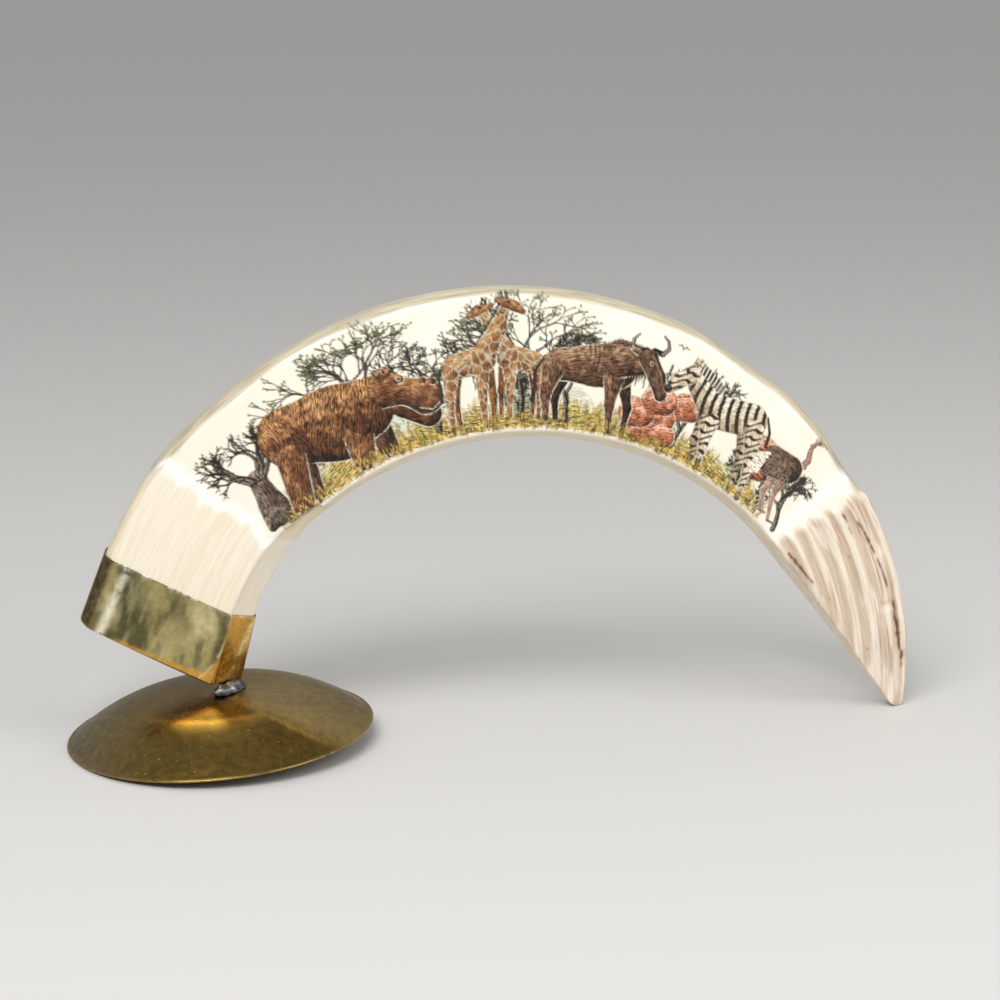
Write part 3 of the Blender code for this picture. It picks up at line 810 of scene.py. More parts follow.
def bush(canvas, degrees, seed):
    """A green wash with fine dark twigs in it."""
    place = stand(canvas, degrees, 0.82, 15.0)
    where = place.points_near([(-0.5, 0.0), (0.5, 1.0)], 0.2)
    points = place.local(where)
    ragged = layered_noise(points[:, 0] * 7.0, points[:, 1] * 7.0, seed) - 0.5
    reach = np.hypot(points[:, 0], 0.8 * (points[:, 1] - 0.5)) + 0.35 * ragged
    canvas.lay(where, (1 - smooth_step(reach, 0.25, 0.5)) * 0.75, BUSH, 1.0)
    bare_tree(place, seed, 1.1, 6, 0.8, length=0.34)


def far_hills(canvas):
    """A pale wash of distant hills behind the animals."""
    for degrees, size, seed in ((71.0, 30.0, 3), (103.0, 26.0, 5), (118.0, 24.0, 8)):
        place = Place(canvas, degrees, 0.80, size)
        where = place.points_near([(-0.6, 0.0), (0.6, 0.5)], 0.2)
        points = place.local(where)
        x, y = points[:, 0], points[:, 1]
        ridge = 0.42 * bell(x, 0.0, 0.35) + 0.06 * layered_noise(x * 9.0, x * 0.0, seed)
        cover = (1.0 - smooth_step(y - ridge, -0.05, 0.03)) * smooth_step(y, -0.1, 0.1)
        cover *= 1.0 - smooth_step(np.abs(x), 0.45, 0.75)
        canvas.lay(where, cover * 0.5, HILL_GREEN, 0.6)


GRASS_START = 41.0
GRASS_END = 145.0


def grass_wash(canvas):
    """Olive ground behind the animals, ragged above and fading at both ends."""
    where = np.flatnonzero(canvas.front > 0.0)
    degrees = np.degrees(canvas.angle[where])
    share = canvas.share[where]
    top = 0.64 + 0.12 * layered_noise(degrees * 0.35, degrees * 0.0, 41, 2)
    ends = smooth_step(degrees, GRASS_START, GRASS_START + 4) * (
        1 - smooth_step(degrees, GRASS_END - 5, GRASS_END))
    low = 0.895 + 0.02 * layered_noise(degrees * 1.1, degrees * 0.0, 44, 2)
    cover = smooth_step(share, top - 0.02, top + 0.09) * (1 - smooth_step(share, low - 0.02, low))
    tone = layered_noise(degrees * 0.6, share * 14.0, 47)[:, None]
    colour = np.array(OLIVE) * (1 - tone) + np.array(STRAW) * tone
    canvas.lay(where, cover * ends * (0.80 + 0.20 * tone[:, 0]), colour, 1.0)


def grass_blades(canvas, count, seed, low, high, strength):
    random = np.random.default_rng(seed)
    for _ in range(count):
        degrees = random.uniform(GRASS_START + 1.0, GRASS_END - 1.0)
        place = Place(canvas, degrees, random.uniform(low, high), 1.0)
        height = random.uniform(1.6, 4.2)
        bend = random.uniform(-1.2, 1.2)
        tone = random.random()
        colour = np.array(OLIVE) * 0.30 * (1 - tone) + np.array(STRAW) * tone
        points = [(0.0, 0.0), (bend * 0.35, height * 0.55), (bend, height)]
        stroke(place, points, (0.55, 0.3), colour, strength)


def birds(canvas):
    wings = [(-1.0, 0.35), (-0.45, 0.6), (0.0, 0.0), (0.45, 0.6), (1.0, 0.35)]
    for degrees, share, size in ((86.0, 0.13, 2.6), (89.5, 0.17, 2.0), (83.0, 0.19, 1.8),
                                 (117.0, 0.16, 2.2), (120.0, 0.22, 1.7)):
        stroke(Place(canvas, degrees, share, size), wings, 0.5, INK, 0.85)


def stand(canvas, degrees, depth_share, size, facing=1.0, straight=0.5):
    """A place where a figure stands so much straighter than the sloping ground would have it."""
    return Place(canvas, degrees, depth_share, size, facing, radians(90.0 - degrees) * -straight)


def paint_picture(canvas):
    far_hills(canvas)
    grass_wash(canvas)
    grass_blades(canvas, 520, 61, 0.72, 0.86, 0.6)
    for degrees, seed in ((50.0, 51), (75.5, 52), (92.5, 53), (119.5, 54), (136.5, 55)):
        bush(canvas, degrees, seed)
    baobab(stand(canvas, 42.5, 0.84, 42.0, straight=0.35), 7)
    flat_topped_tree(stand(canvas, 64.0, 0.80, 47.0), 12)
    bare_tree(stand(canvas, 77.5, 0.82, 46.0), 12)
    flat_topped_tree(stand(canvas, 93.0, 0.82, 44.0), 9)
    bare_tree(stand(canvas, 101.5, 0.82, 42.0), 33)
    bare_tree(stand(canvas, 122.0, 0.80, 42.0, straight=0.4), 15)
    boulders(stand(canvas, 119.0, 0.80, 34.0, straight=0.4), 5)
    boulders(stand(canvas, 139.0, 0.62, 26.0, straight=0.4), 8)
    bare_tree(stand(canvas, 147.5, 0.84, 30.0, straight=0.6), 19)
    hippo(stand(canvas, 57.5, 0.87, 35.0))
    giraffe(stand(canvas, 92.5, 0.83, 25.0, -1.0), TAN)
    giraffe(stand(canvas, 84.5, 0.87, 28.0), TAN)
    wildebeest(stand(canvas, 106.5, 0.87, 34.5))
    zebra(stand(canvas, 131.5, 0.86, 33.0, -1.0, 0.6))
    ostrich(stand(canvas, 144.0, 0.84, 26.0))
    birds(canvas)
    grass_blades(canvas, 480, 67, 0.84, 0.90, 0.9)


# Colours of the tooth itself, with a painted shade along its inner edge and painted light on the root's
# inner side
IVORY = (0.86, 0.79, 0.66)
IVORY_WHITE = (0.90, 0.85, 0.74)
ROOT_CREAM = (0.82, 0.74, 0.60)
ROOT_INNER_PAINTED_LIGHT = (0.95, 0.88, 0.74)
EDGE_ENAMEL = (0.47, 0.41, 0.28)
RAW_ENAMEL = (0.53, 0.39, 0.27)
RAW_PALE = (0.80, 0.70, 0.58)
RAW_BROWN = (0.24, 0.13, 0.09)
RAW_STAIN = (0.36, 0.20, 0.135)
BACK_ENAMEL = (0.68, 0.58, 0.41)
INNER_ENAMEL = (0.84, 0.73, 0.52)
UNDER_SHADE = (0.16, 0.11, 0.06)
ROOT_WARM = (0.80, 0.66, 0.45)
RIM_WHITE = (0.95, 0.93, 0.88)
GLOW_WHITE = (0.95, 0.92, 0.86)
CRACK_BROWN = (0.40, 0.20, 0.12)
CRACK_DARK = (0.10, 0.035, 0.022)

# Rough millimetres along the tooth for one degree: for the painting, and for the cracks
ARC_PER_DEGREE = 2.6
CRACK_ARC_PER_DEGREE = 3.0
CRACK_RADIUS = 0.0001
CRACK_NARROWING = 0.22


def blend(canvas, cover, colour, hatch=None, rough=None):
    """Blend a colour over the whole tooth."""
    colour = np.broadcast_to(np.asarray(colour, dtype=float), canvas.colour.shape)
    canvas.colour += (colour - canvas.colour) * cover[:, None]
    if hatch is not None:
        canvas.streak += (hatch - canvas.streak) * cover
    if rough is not None:
        canvas.rough += (rough - canvas.rough) * cover


def paint_tooth(canvas):
    """Natural colours: polished ivory, cream root, enamel along both edges and at the tip, with a
    painted shade along the inner edge and painted light on the root's inner side.
    """
    degrees = np.degrees(canvas.angle)
    arc = degrees * ARC_PER_DEGREE
    canvas.colour[:] = IVORY
    cloud = layered_noise(arc * 0.06, canvas.depth * 0.09, 71)
    blend(canvas, smooth_step(cloud, 0.45, 0.8) * 0.7, IVORY_WHITE)
    back = smooth_step(canvas.normal[:, 1], -0.2, 0.3)
    blend(canvas, back, BACK_ENAMEL, 0.6, 0.42)
    inner = smooth_step(canvas.normal[:, 0], 0.45, 0.85)
    blend(canvas, inner * 0.8, INNER_ENAMEL, 0.8, 0.38)
    band = 2.4 + 2.2 * layered_noise(arc * 0.05, arc * 0.0, 75)
    edge = 1 - smooth_step(canvas.depth, band - 1.2, band + 0.6)
    blend(canvas, edge * (1 - back) * 0.90, EDGE_ENAMEL, 1.5, 0.40)
    # Painted shade: dark brown along the inner edge, where its surface turns away from the front
    under = smooth_step(canvas.normal[:, 1], -0.08, 0.05) * smooth_step(canvas.normal[:, 0], 0.6, 0.9)
    blend(canvas, under * 0.7, UNDER_SHADE, 0.6)
    jag = 3.4 * (value_noise(canvas.depth * 0.30, arc * 0.0 + 1.5, 81) - 0.5)
    jag += 1.4 * (value_noise(canvas.depth * 0.95, arc * 0.0 + 2.5, 83) - 0.5)
    reach = degrees + jag - 1.5 * (canvas.share - 0.5)
    root = 1 - smooth_step(reach, 36.6, 37.6)
    rim = bell(reach, 38.2, 1.0)
    blend(canvas, root * (1 - edge * 0.5), ROOT_CREAM, 0.28, 0.42)
    warm = value_noise(canvas.depth * 0.8, arc * 0.03, 85)
    blend(canvas, root * smooth_step(warm, 0.6, 0.95) * 0.5, ROOT_WARM)
    # Painted light: the root's inner side coloured a lighter cream, as if brightly lit
    blend(canvas, root * inner * (1 - back) * 0.8, ROOT_INNER_PAINTED_LIGHT)
    blend(canvas, rim * canvas.front * 0.9, RIM_WHITE, 0.1)
    depth = canvas.depth / 1000.0
    raw = enamel_cover(canvas.angle, depth, depth / np.maximum(canvas.share, 1e-3))
    glow = bell(degrees, 148.3, 1.6) * (1 - raw)
    blend(canvas, glow * 0.8 * canvas.front, GLOW_WHITE, 0.1)
    wander = FLUTE_WANDER * 1000.0 * (value_noise(canvas.depth * 0.09, canvas.angle * 4.0, 9) - 0.5)
    ridge = np.cos(2 * pi * (canvas.depth + wander) / (FLUTE_PITCH * 1000.0))
    drift = 1.6 * layered_noise(arc * 0.07, canvas.depth * 0.05, 93)
    blend(canvas, raw, RAW_PALE, 0.6, 0.72)
    patchy = smooth_step(layered_noise(arc * 0.06, canvas.depth * 0.15, 94), 0.25, 0.5)
    blend(canvas, raw * smooth_step(-ridge, -0.55, 0.45) * patchy * 0.70, RAW_ENAMEL)
    fine = value_noise((canvas.depth + drift) * 1.7, arc * 0.035, 96)
    blend(canvas, raw * smooth_step(fine, 0.60, 0.9) * 0.6, RAW_ENAMEL)
    stain = layered_noise((canvas.depth + drift) * 0.8, arc * 0.05, 91)
    outside = 1 - smooth_step(canvas.share, 0.2, 0.65)
    blend(canvas, raw * smooth_step(stain, 0.54, 0.74) * (0.16 + 0.55 * outside), RAW_STAIN)
    ledge = smooth_step(canvas.depth, 3.2, 4.0) * (1 - smooth_step(canvas.depth, 8.5, 10.5))
    ledge = ledge * canvas.front
    blend(canvas, ledge * bell(degrees, 167.7, 0.30) * 0.75, RAW_ENAMEL)
    blend(canvas, ledge * bell(degrees, 168.9, 0.50) * 0.6, IVORY_WHITE)
    pits = value_noise(canvas.depth * 1.1, arc * 0.45, 98)
    blend(canvas, raw * smooth_step(pits, 0.95, 0.98) * 0.7, RAW_BROWN)
    wear = raw * smooth_step(canvas.normal[:, 0], 0.3, 0.8)
    blend(canvas, wear * 0.8, RAW_PALE, 0.5, 0.55)


# Dark cracks in the raw enamel: place along the tooth in degrees and depth from its outer edge
CRACKS = (
    ((153.3, 40.5), (154.8, 39.6), (156.5, 38.5), (158.6, 37.4), (160.2, 36.2)),
    ((154.6, 8.3), (156.5, 7.6), (158.2, 7.2), (159.8, 6.7)),
    ((152.4, 12.6), (153.6, 12.2)),
    ((154.6, 12.9), (155.6, 12.6)),
    ((161.2, 6.0), (163.5, 5.2), (165.6, 4.9)),
    ((168.0, 3.6), (170.5, 3.7), (173.0, 3.3), (175.5, 3.0)),
    ((175.8, 2.2), (178.0, 2.5)),
)


def crack_distance(canvas):
    """Distance in millimetres of each point from the nearest crack. The ends count as narrower."""
    nearest = np.full(len(canvas.x), 99.0)
    arc = np.degrees(canvas.angle) * CRACK_ARC_PER_DEGREE
    points = np.column_stack([arc, canvas.depth])
    for crack in CRACKS:
        line = [(degrees * CRACK_ARC_PER_DEGREE, depth, CRACK_RADIUS) for degrees, depth in crack]
        for index in range(len(crack) - 1):
            distance = limb_distance(points, (*line[index], *line[index + 1]))[0]
            narrow = 0.0 if 0 < index < len(crack) - 2 else CRACK_NARROWING
            nearest = np.minimum(nearest, distance + narrow)
    wobble = 0.8 * (value_noise(arc * 0.7, canvas.depth * 0.7, 95) - 0.45)
    return nearest + wobble


def paint_cracks(canvas, distance):
    cover = (1 - smooth_step(distance, 0.25, 0.90)) * canvas.painted_side
    halo = (1 - smooth_step(distance, 0.4, 1.8)) * canvas.painted_side
    blend(canvas, halo * 0.45, CRACK_BROWN)
    blend(canvas, cover * 0.85, CRACK_DARK, 0.2, 0.8)


def hatch_weights(canvas):
    """Strength of the hatching in each of four directions, from the painted direction."""
    angle = np.arctan2(canvas.direction[:, 1], canvas.direction[:, 0])
    weights = [np.maximum(0.0, np.cos(2 * (angle - pi * step / 4))) ** 2 for step in range(4)]
    return np.column_stack(weights) * canvas.hatch[:, None]


def socket(shader, name, value):
    shader.inputs[name].default_value = value


def node(tree, kind, **settings):
    result = tree.nodes.new(kind)
    for key, value in settings.items():
        setattr(result, key, value)
    return result


def new_material(name):
    look = bpy.data.materials.new(name)
    look.use_nodes = True
    tree = look.node_tree
    shader = tree.nodes["Principled BSDF"]
    return look, tree, shader


def attribute(tree, name):
    return node(tree, "ShaderNodeAttribute", attribute_name=name)


def math_node(tree, operation, first, second=None):
    result = node(tree, "ShaderNodeMath", operation=operation)
    for index, value in enumerate((first, second)):
        if value is None:
            continue
        if isinstance(value, (int, float)):
            result.inputs[index].default_value = value
        else:
            tree.links.new(value, result.inputs[index])
    return result.outputs[0]


def stretched_noise(tree, source, turn, scale, detail=2.0):
    """Noise drawn out along one direction in the plane of the picture."""
    mapping = node(tree, "ShaderNodeMapping", vector_type="TEXTURE")
    mapping.inputs["Rotation"].default_value = (0.0, -turn, 0.0)
    tree.links.new(source, mapping.inputs["Vector"])
    scaled = node(tree, "ShaderNodeVectorMath", operation="MULTIPLY")
    scaled.inputs[1].default_value = scale
    tree.links.new(mapping.outputs[0], scaled.inputs[0])
    noise = node(tree, "ShaderNodeTexNoise")
    noise.inputs["Scale"].default_value = 1.0
    noise.inputs["Detail"].default_value = detail
    noise.inputs["Roughness"].default_value = 0.6
    tree.links.new(scaled.outputs[0], noise.inputs["Vector"])
    return math_node(tree, "SUBTRACT", noise.outputs["Fac"], 0.5)


def polar_streaks(tree, source, centre):
    """Noise drawn out along the tooth, round the outer edge's centre."""
    offset = node(tree, "ShaderNodeVectorMath", operation="SUBTRACT")
    offset.inputs[1].default_value = (centre[0], 0.0, centre[1])
    tree.links.new(source, offset.inputs[0])
    split = node(tree, "ShaderNodeSeparateXYZ")
    tree.links.new(offset.outputs[0], split.inputs[0])
    x, y, z = (split.outputs[index] for index in range(3))
    radius = math_node(tree, "SQRT", math_node(tree, "ADD", math_node(tree, "MULTIPLY", x, x),
                                               math_node(tree, "MULTIPLY", z, z)))
    angle = math_node(tree, "ARCTAN2", z, x)
    join = node(tree, "ShaderNodeCombineXYZ")
    tree.links.new(math_node(tree, "MULTIPLY", radius, 1100.0), join.inputs[0])
    tree.links.new(math_node(tree, "MULTIPLY", angle, 9.0), join.inputs[1])
    tree.links.new(math_node(tree, "MULTIPLY", y, 900.0), join.inputs[2])
    noise = node(tree, "ShaderNodeTexNoise")
    noise.inputs["Scale"].default_value = 1.0
    noise.inputs["Detail"].default_value = 3.0
    tree.links.new(join.outputs[0], noise.inputs["Vector"])
    return math_node(tree, "SUBTRACT", noise.outputs["Fac"], 0.5)


HATCH_SCALE = (430.0, 700.0, 1750.0)
HATCH_STRENGTH = 6.0


def tooth_material(centre):
    look, tree, shader = new_material("painted_ivory")
    coordinates = node(tree, "ShaderNodeTexCoord")
    source = coordinates.outputs["Object"]
    weights = node(tree, "ShaderNodeSeparateColor")
    hatching = attribute(tree, "hatching")
    tree.links.new(hatching.outputs["Color"], weights.inputs[0])
    strengths = [weights.outputs[0], weights.outputs[1], weights.outputs[2], hatching.outputs["Alpha"]]
    total = None
    for step, strength in enumerate(strengths):
        noise = stretched_noise(tree, source, pi * step / 4, HATCH_SCALE)
        part = math_node(tree, "MULTIPLY", noise, strength)
        total = part if total is None else math_node(tree, "ADD", total, part)
    fur = math_node(tree, "MULTIPLY", total, HATCH_STRENGTH)
    strength = attribute(tree, "streak").outputs["Fac"]
    streaks = math_node(tree, "MULTIPLY", polar_streaks(tree, source, centre), strength)
    factor = math_node(tree, "ADD", math_node(tree, "ADD", fur, streaks), 1.0)
    factor = math_node(tree, "MINIMUM", math_node(tree, "MAXIMUM", factor, 0.25), 1.9)
    coloured = node(tree, "ShaderNodeVectorMath", operation="SCALE")
    tree.links.new(attribute(tree, "paint").outputs["Color"], coloured.inputs[0])
    tree.links.new(factor, coloured.inputs["Scale"])
    tree.links.new(coloured.outputs[0], shader.inputs["Base Color"])
    tree.links.new(attribute(tree, "rough").outputs["Fac"], shader.inputs["Roughness"])
    bump = node(tree, "ShaderNodeBump")
    bump.inputs["Strength"].default_value = 0.25
    bump.inputs["Distance"].default_value = 0.0004
    tree.links.new(streaks, bump.inputs["Height"])
    tree.links.new(bump.outputs[0], shader.inputs["Normal"])
    socket(shader, "IOR", 1.54)
    socket(shader, "Specular IOR Level", 0.5)
    return look


def store_colour(mesh, name, values):
    layer = mesh.color_attributes.new(name, "FLOAT_COLOR", "POINT")
    layer.data.foreach_set("color", np.asarray(values, dtype=np.float32).ravel())


def store_number(mesh, name, values):
    layer = mesh.attributes.new(name, "FLOAT", "POINT")
    layer.data.foreach_set("value", np.asarray(values, dtype=np.float32))


def new_piece(name, mesh, look, replaced):
    piece = bpy.data.objects.new(name, mesh)
    bpy.context.scene.collection.objects.link(piece)
    mesh.materials.append(look)
    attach(piece, "root")
    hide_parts(replaced)
    return piece


MAP_STRIPS = 4
MAP_STRIP_HEIGHT = 0.19
MAP_MARGIN = 0.012


def add_bake_map(mesh, facts, column, columns):
    """Flat map for baking: the painted face in four long strips, the other sides in a fifth."""
    corner = np.zeros(len(mesh.loops), dtype=np.int64)
    mesh.loops.foreach_get("vertex_index", corner)
    size = np.zeros(len(mesh.polygons), dtype=np.int64)
    mesh.polygons.foreach_get("loop_total", size)
    start = np.cumsum(size) - size
    face = np.repeat(np.arange(len(size)), size)
    column = column[corner]
    first, last = facts[:, 0].min(), facts[:, 0].max()
    along = (facts[corner, 0] - first) / (last - first)
    is_front = np.maximum.reduceat(column, start)[face] <= FRONT_COLUMNS
    strip = np.minimum(np.floor(np.minimum.reduceat(along, start) * MAP_STRIPS), MAP_STRIPS - 1)[face]
    room = 1.0 - 2 * MAP_MARGIN
    u = np.where(is_front, along * MAP_STRIPS - strip, along)
    back_column = np.where(column == 0, columns, column) - FRONT_COLUMNS
    v_front = strip * MAP_STRIP_HEIGHT + 0.005 + (MAP_STRIP_HEIGHT - 0.01) * column / FRONT_COLUMNS
    v_back = 0.77 + 0.17 * back_column / (columns - FRONT_COLUMNS)
    v = np.where(is_front, v_front, v_back)
    is_cap = (size > 40)[face]
    depth, across = facts[corner, 2], facts[corner, 4]
    cap_number = np.where(facts[corner, 0] > 0.5 * (first + last), 1.0, 0.0)
    u = np.where(is_cap, 0.05 + 0.2 * cap_number + 0.05 * (depth + 0.2), MAP_MARGIN + room * u)
    v = np.where(is_cap, 0.955 + 0.018 * (1 + across), v)
    layer = mesh.uv_layers.new(name="OFBake")
    layer.data.foreach_set("uv", np.column_stack([u, v]).astype(np.float32).ravel())


def make_tooth(shift):
    rings = tooth_rings()
    points = np.vstack([ring for ring, _ in rings]) + np.array([shift, 0.0, 0.0])
    facts = np.vstack([fact for _, fact in rings])
    columns = len(rings[0][0])
    canvas = Canvas(points, facts, shift)
    paint_tooth(canvas)
    natural = canvas.colour.copy()
    paint_picture(canvas)
    painted = np.abs(canvas.colour - natural).max(axis=1) > 0.02
    canvas.streak[painted] *= 0.2
    cracks = crack_distance(canvas)
    paint_cracks(canvas, cracks)
    points[:, 1] += CRACK_RELIEF * (1 - smooth_step(cracks, 0.1, 0.7)) * canvas.painted_side
    mesh = bpy.data.meshes.new("tooth_surface")
    mesh.from_pydata(points.tolist(), [], face_loops(len(rings), columns))
    work = bmesh.new()
    work.from_mesh(mesh)
    loose = [vert for vert in work.verts if not vert.link_faces]
    keep = np.ones(len(points), dtype=bool)
    keep[[vert.index for vert in loose]] = False
    bmesh.ops.delete(work, geom=loose, context="VERTS")
    bmesh.ops.recalc_face_normals(work, faces=work.faces)
    work.to_mesh(mesh)
    work.free()
    colour = np.column_stack([canvas.colour, np.ones(len(points))])
    store_colour(mesh, "paint", colour[keep])
    store_colour(mesh, "hatching", hatch_weights(canvas)[keep])
    store_number(mesh, "streak", canvas.streak[keep])
    store_number(mesh, "rough", canvas.rough[keep])
    add_bake_map(mesh, facts[keep], (np.arange(len(points)) % columns)[keep], columns)
    mesh.shade_smooth()
    mesh.set_sharp_from_angle(angle=radians(60.0))
    centre = ARC_CENTRE + np.array([shift, 0.0])
    return new_piece("tooth_surface", mesh, tooth_material(centre), "tooth")


def plain_noise(tree, source, scale, detail=3.0):
    noise = node(tree, "ShaderNodeTexNoise")
    noise.inputs["Scale"].default_value = scale
    noise.inputs["Detail"].default_value = detail
    tree.links.new(source, noise.inputs["Vector"])
    return noise.outputs["Fac"]


def metal_material(name, grain, bump_strength, dust=0.0):
    """Metal with painted patina, painted reflections and highlights, a fine grain, slight dents and, if
    asked for, specks of dust.
    """
    look, tree, shader = new_material(name)
    source = node(tree, "ShaderNodeTexCoord").outputs["Object"]
    fine = plain_noise(tree, source, grain, 4.0)
    factor = math_node(tree, "ADD", math_node(tree, "MULTIPLY", fine, 0.9), 0.55)
    coloured = node(tree, "ShaderNodeVectorMath", operation="SCALE")
    tree.links.new(attribute(tree, "paint").outputs["Color"], coloured.inputs[0])
    tree.links.new(factor, coloured.inputs["Scale"])
    colour = coloured.outputs[0]
    socket(shader, "Metallic", 1.0)
    if dust:
        specks = node(tree, "ShaderNodeMapRange")
        specks.inputs["From Min"].default_value = 0.82
        specks.inputs["From Max"].default_value = 0.84
        specks.inputs["To Max"].default_value = dust
        tree.links.new(plain_noise(tree, source, 1100.0, 0.0), specks.inputs["Value"])
        mixed = node(tree, "ShaderNodeMix", data_type="RGBA")
        tree.links.new(specks.outputs[0], mixed.inputs["Factor"])
        tree.links.new(colour, mixed.inputs[6])
        mixed.inputs[7].default_value = (0.85, 0.78, 0.62, 1.0)
        colour = mixed.outputs[2]
    tree.links.new(colour, shader.inputs["Base Color"])
    rough = math_node(tree, "ADD", attribute(tree, "rough").outputs["Fac"],
                      math_node(tree, "MULTIPLY", math_node(tree, "SUBTRACT", fine, 0.5), 0.35))
    tree.links.new(rough, shader.inputs["Roughness"])
    dents = math_node(tree, "ADD", plain_noise(tree, source, 45.0, 1.0),
                      math_node(tree, "MULTIPLY", plain_noise(tree, source, grain * 2.0, 2.0), 0.04))
    bump = node(tree, "ShaderNodeBump")
    bump.inputs["Strength"].default_value = bump_strength
    bump.inputs["Distance"].default_value = 0.002
    tree.links.new(dents, bump.inputs["Height"])
    tree.links.new(bump.outputs[0], shader.inputs["Normal"])
    return look


def mix(colour, other, cover):
    return colour + (np.asarray(other, dtype=float) - colour) * cover[:, None]


def make_metal_piece(name, points, faces, colour, rough, look, replaced):
    mesh = bpy.data.meshes.new(name)
    mesh.from_pydata(points.tolist(), [], faces)
    store_colour(mesh, "paint", np.column_stack([colour, np.ones(len(points))]))
    store_number(mesh, "rough", rough)
    mesh.shade_smooth()
    mesh.set_sharp_from_angle(angle=radians(50.0))
    return new_piece(name, mesh, look, replaced)


def ring_faces(rows, columns):
    """Faces between rings of points, seen from outside as the rings go along."""
    faces = []
    for row in range(rows - 1):
        for column in range(columns):
            after = (column + 1) % columns
            faces.append((row * columns + column, row * columns + after,
                          (row + 1) * columns + after, (row + 1) * columns + column))
    return faces


# Collar: closed below, open above, with a rounded lower edge and rim
COLLAR_CORNER_STEPS = (16, 12, 12, 14, 18)
COLLAR_EDGE_STEPS = (70, 8, 16, 30, 6)
COLLAR_ROWS = 26
COLLAR_EDGE_RADIUS = 0.0012
COLLAR_EDGE_ROWS = 6
BRASS_GREEN = (0.44, 0.37, 0.16)
BRASS_DARK = (0.115, 0.105, 0.050)
BRASS_PALE = (0.72, 0.63, 0.36)
BRASS_HIGHLIGHT = (0.95, 0.90, 0.70)
BRASS_BROWN = (0.22, 0.16, 0.07)
BRASS_GOLD_REFLECTION = (0.66, 0.36, 0.07)


def collar_stations():
    """Offset from the tooth and height share of each ring, from inside below to outside below."""
    bottom = section(COLLAR_BOTTOM_ANGLE, lean=COLLAR_BOTTOM_LEAN)[0]
    top = section(RING_ANGLE, lean=COLLAR_RING_LEAN)[0]
    length = np.linalg.norm((top - bottom).mean(axis=0))
    half = COLLAR_WALL / 2
    outer = COLLAR_CLEARANCE + COLLAR_WALL
    stations = [(COLLAR_CLEARANCE, share) for share in (0.0, 0.5, 1.0)]
    for turn in np.linspace(pi, 0.0, 7)[1:]:
        stations.append((COLLAR_CLEARANCE + half + half * cos(turn), 1.0 + half * sin(turn) / length))
    lower = (COLLAR_EDGE_RADIUS - COLLAR_WALL) / length
    for share in np.linspace(1.0, lower, COLLAR_ROWS + 1)[1:]:
        stations.append((outer, share))
    for turn in np.linspace(0.0, pi / 2, COLLAR_EDGE_ROWS + 1)[1:]:
        drawn = COLLAR_EDGE_RADIUS * (1 - cos(turn))
        stations.append((outer - drawn, lower - COLLAR_EDGE_RADIUS * sin(turn) / length))
    return stations


def collar_colours(facts, up, across):
    """Aged brass with cloudy smudges in front, a painted highlight streak and rim, and a painted gold
    reflection where it turns under and round the inner side, with painted shade and gleams there.
    """
    along = facts[:, 2]
    inner_side = smooth_step(facts[:, 3], 0.30, 0.60)
    smudge = layered_noise(along * 8.0 + 1.0 * up, up * 0.9 + 0.3, 103)
    fine = layered_noise(along * 40.0, up * 14.0, 105)
    colour = np.tile(np.array(BRASS_GREEN), (len(along), 1))
    colour = mix(colour, BRASS_DARK, smooth_step(smudge, 0.46, 0.66) * 0.9)
    colour = mix(colour, BRASS_PALE, smooth_step(-smudge, -0.42, -0.26) * 0.8)
    colour = mix(colour, BRASS_DARK, smooth_step(along, 0.80, 0.95) * smooth_step(up, 0.2, 0.6) * 0.5)
    blotch = layered_noise(along * 19.0, up * 2.4 + 2.0, 107)
    colour = mix(colour, BRASS_DARK, smooth_step(blotch, 0.52, 0.72) * 0.65)
    colour = mix(colour, BRASS_PALE, smooth_step(-blotch, -0.42, -0.26) * 0.35)
    # Painted highlight: a bright streak near the outer edge
    streak = np.exp(-((along - 0.115 - 0.035 * up) / 0.026) ** 2) * smooth_step(fine, 0.15, 0.5)
    colour = mix(colour, BRASS_HIGHLIGHT, streak * 0.9)
    colour = mix(colour, BRASS_BROWN, (1 - smooth_step(along, 0.03, 0.10)) * 0.75)
    # Painted reflection: gold beyond an edge near the front corner, along the turned-under bottom and
    # round the inner side
    gold_reflection_edge = 0.82 - 0.10 * np.clip(1 - up, 0, 1) ** 3
    turned = smooth_step(along - gold_reflection_edge, -0.010, 0.012)
    hem = 0.02 + 0.18 * np.clip(along, 0, 1) ** 2 + 0.05 * (fine - 0.5)
    folded = (1 - smooth_step(up - hem, -0.012, 0.012)) * smooth_step(along, 0.1, 0.3)
    turned = np.maximum(turned, folded)
    turned = np.maximum(turned, inner_side)
    colour = mix(colour, BRASS_GOLD_REFLECTION, turned * 0.95)
    # Painted shade and painted gleams on the gold reflection
    shaded = np.exp(-((across - 0.001 + 0.006 * (1 - up)) / 0.0016) ** 2) * inner_side
    colour = mix(colour, BRASS_BROWN, shaded * (1 - 0.6 * up) * 0.75)
    gleam = np.exp(-((across + 0.003 + 0.006 * (1 - up)) / 0.0012) ** 2) * inner_side
    gleam = np.maximum(gleam, np.exp(-((along - gold_reflection_edge + 0.004) / 0.007) ** 2) * (1 - inner_side) * 0.6)
    colour = mix(colour, (1.0, 0.80, 0.42), gleam * smooth_step(fine, 0.3, 0.6) * 0.9)
    # Painted highlight along the top rim
    rim = smooth_step(up, 0.985, 1.0) * (0.25 + 0.6 * smooth_step(fine, 0.5, 0.7))
    colour = mix(colour, BRASS_HIGHLIGHT, rim)
    rough = 0.25 + 0.14 * smooth_step(smudge, 0.46, 0.66) - 0.08 * streak - 0.06 * turned
    return colour * (0.80 + 0.4 * fine[:, None]), rough


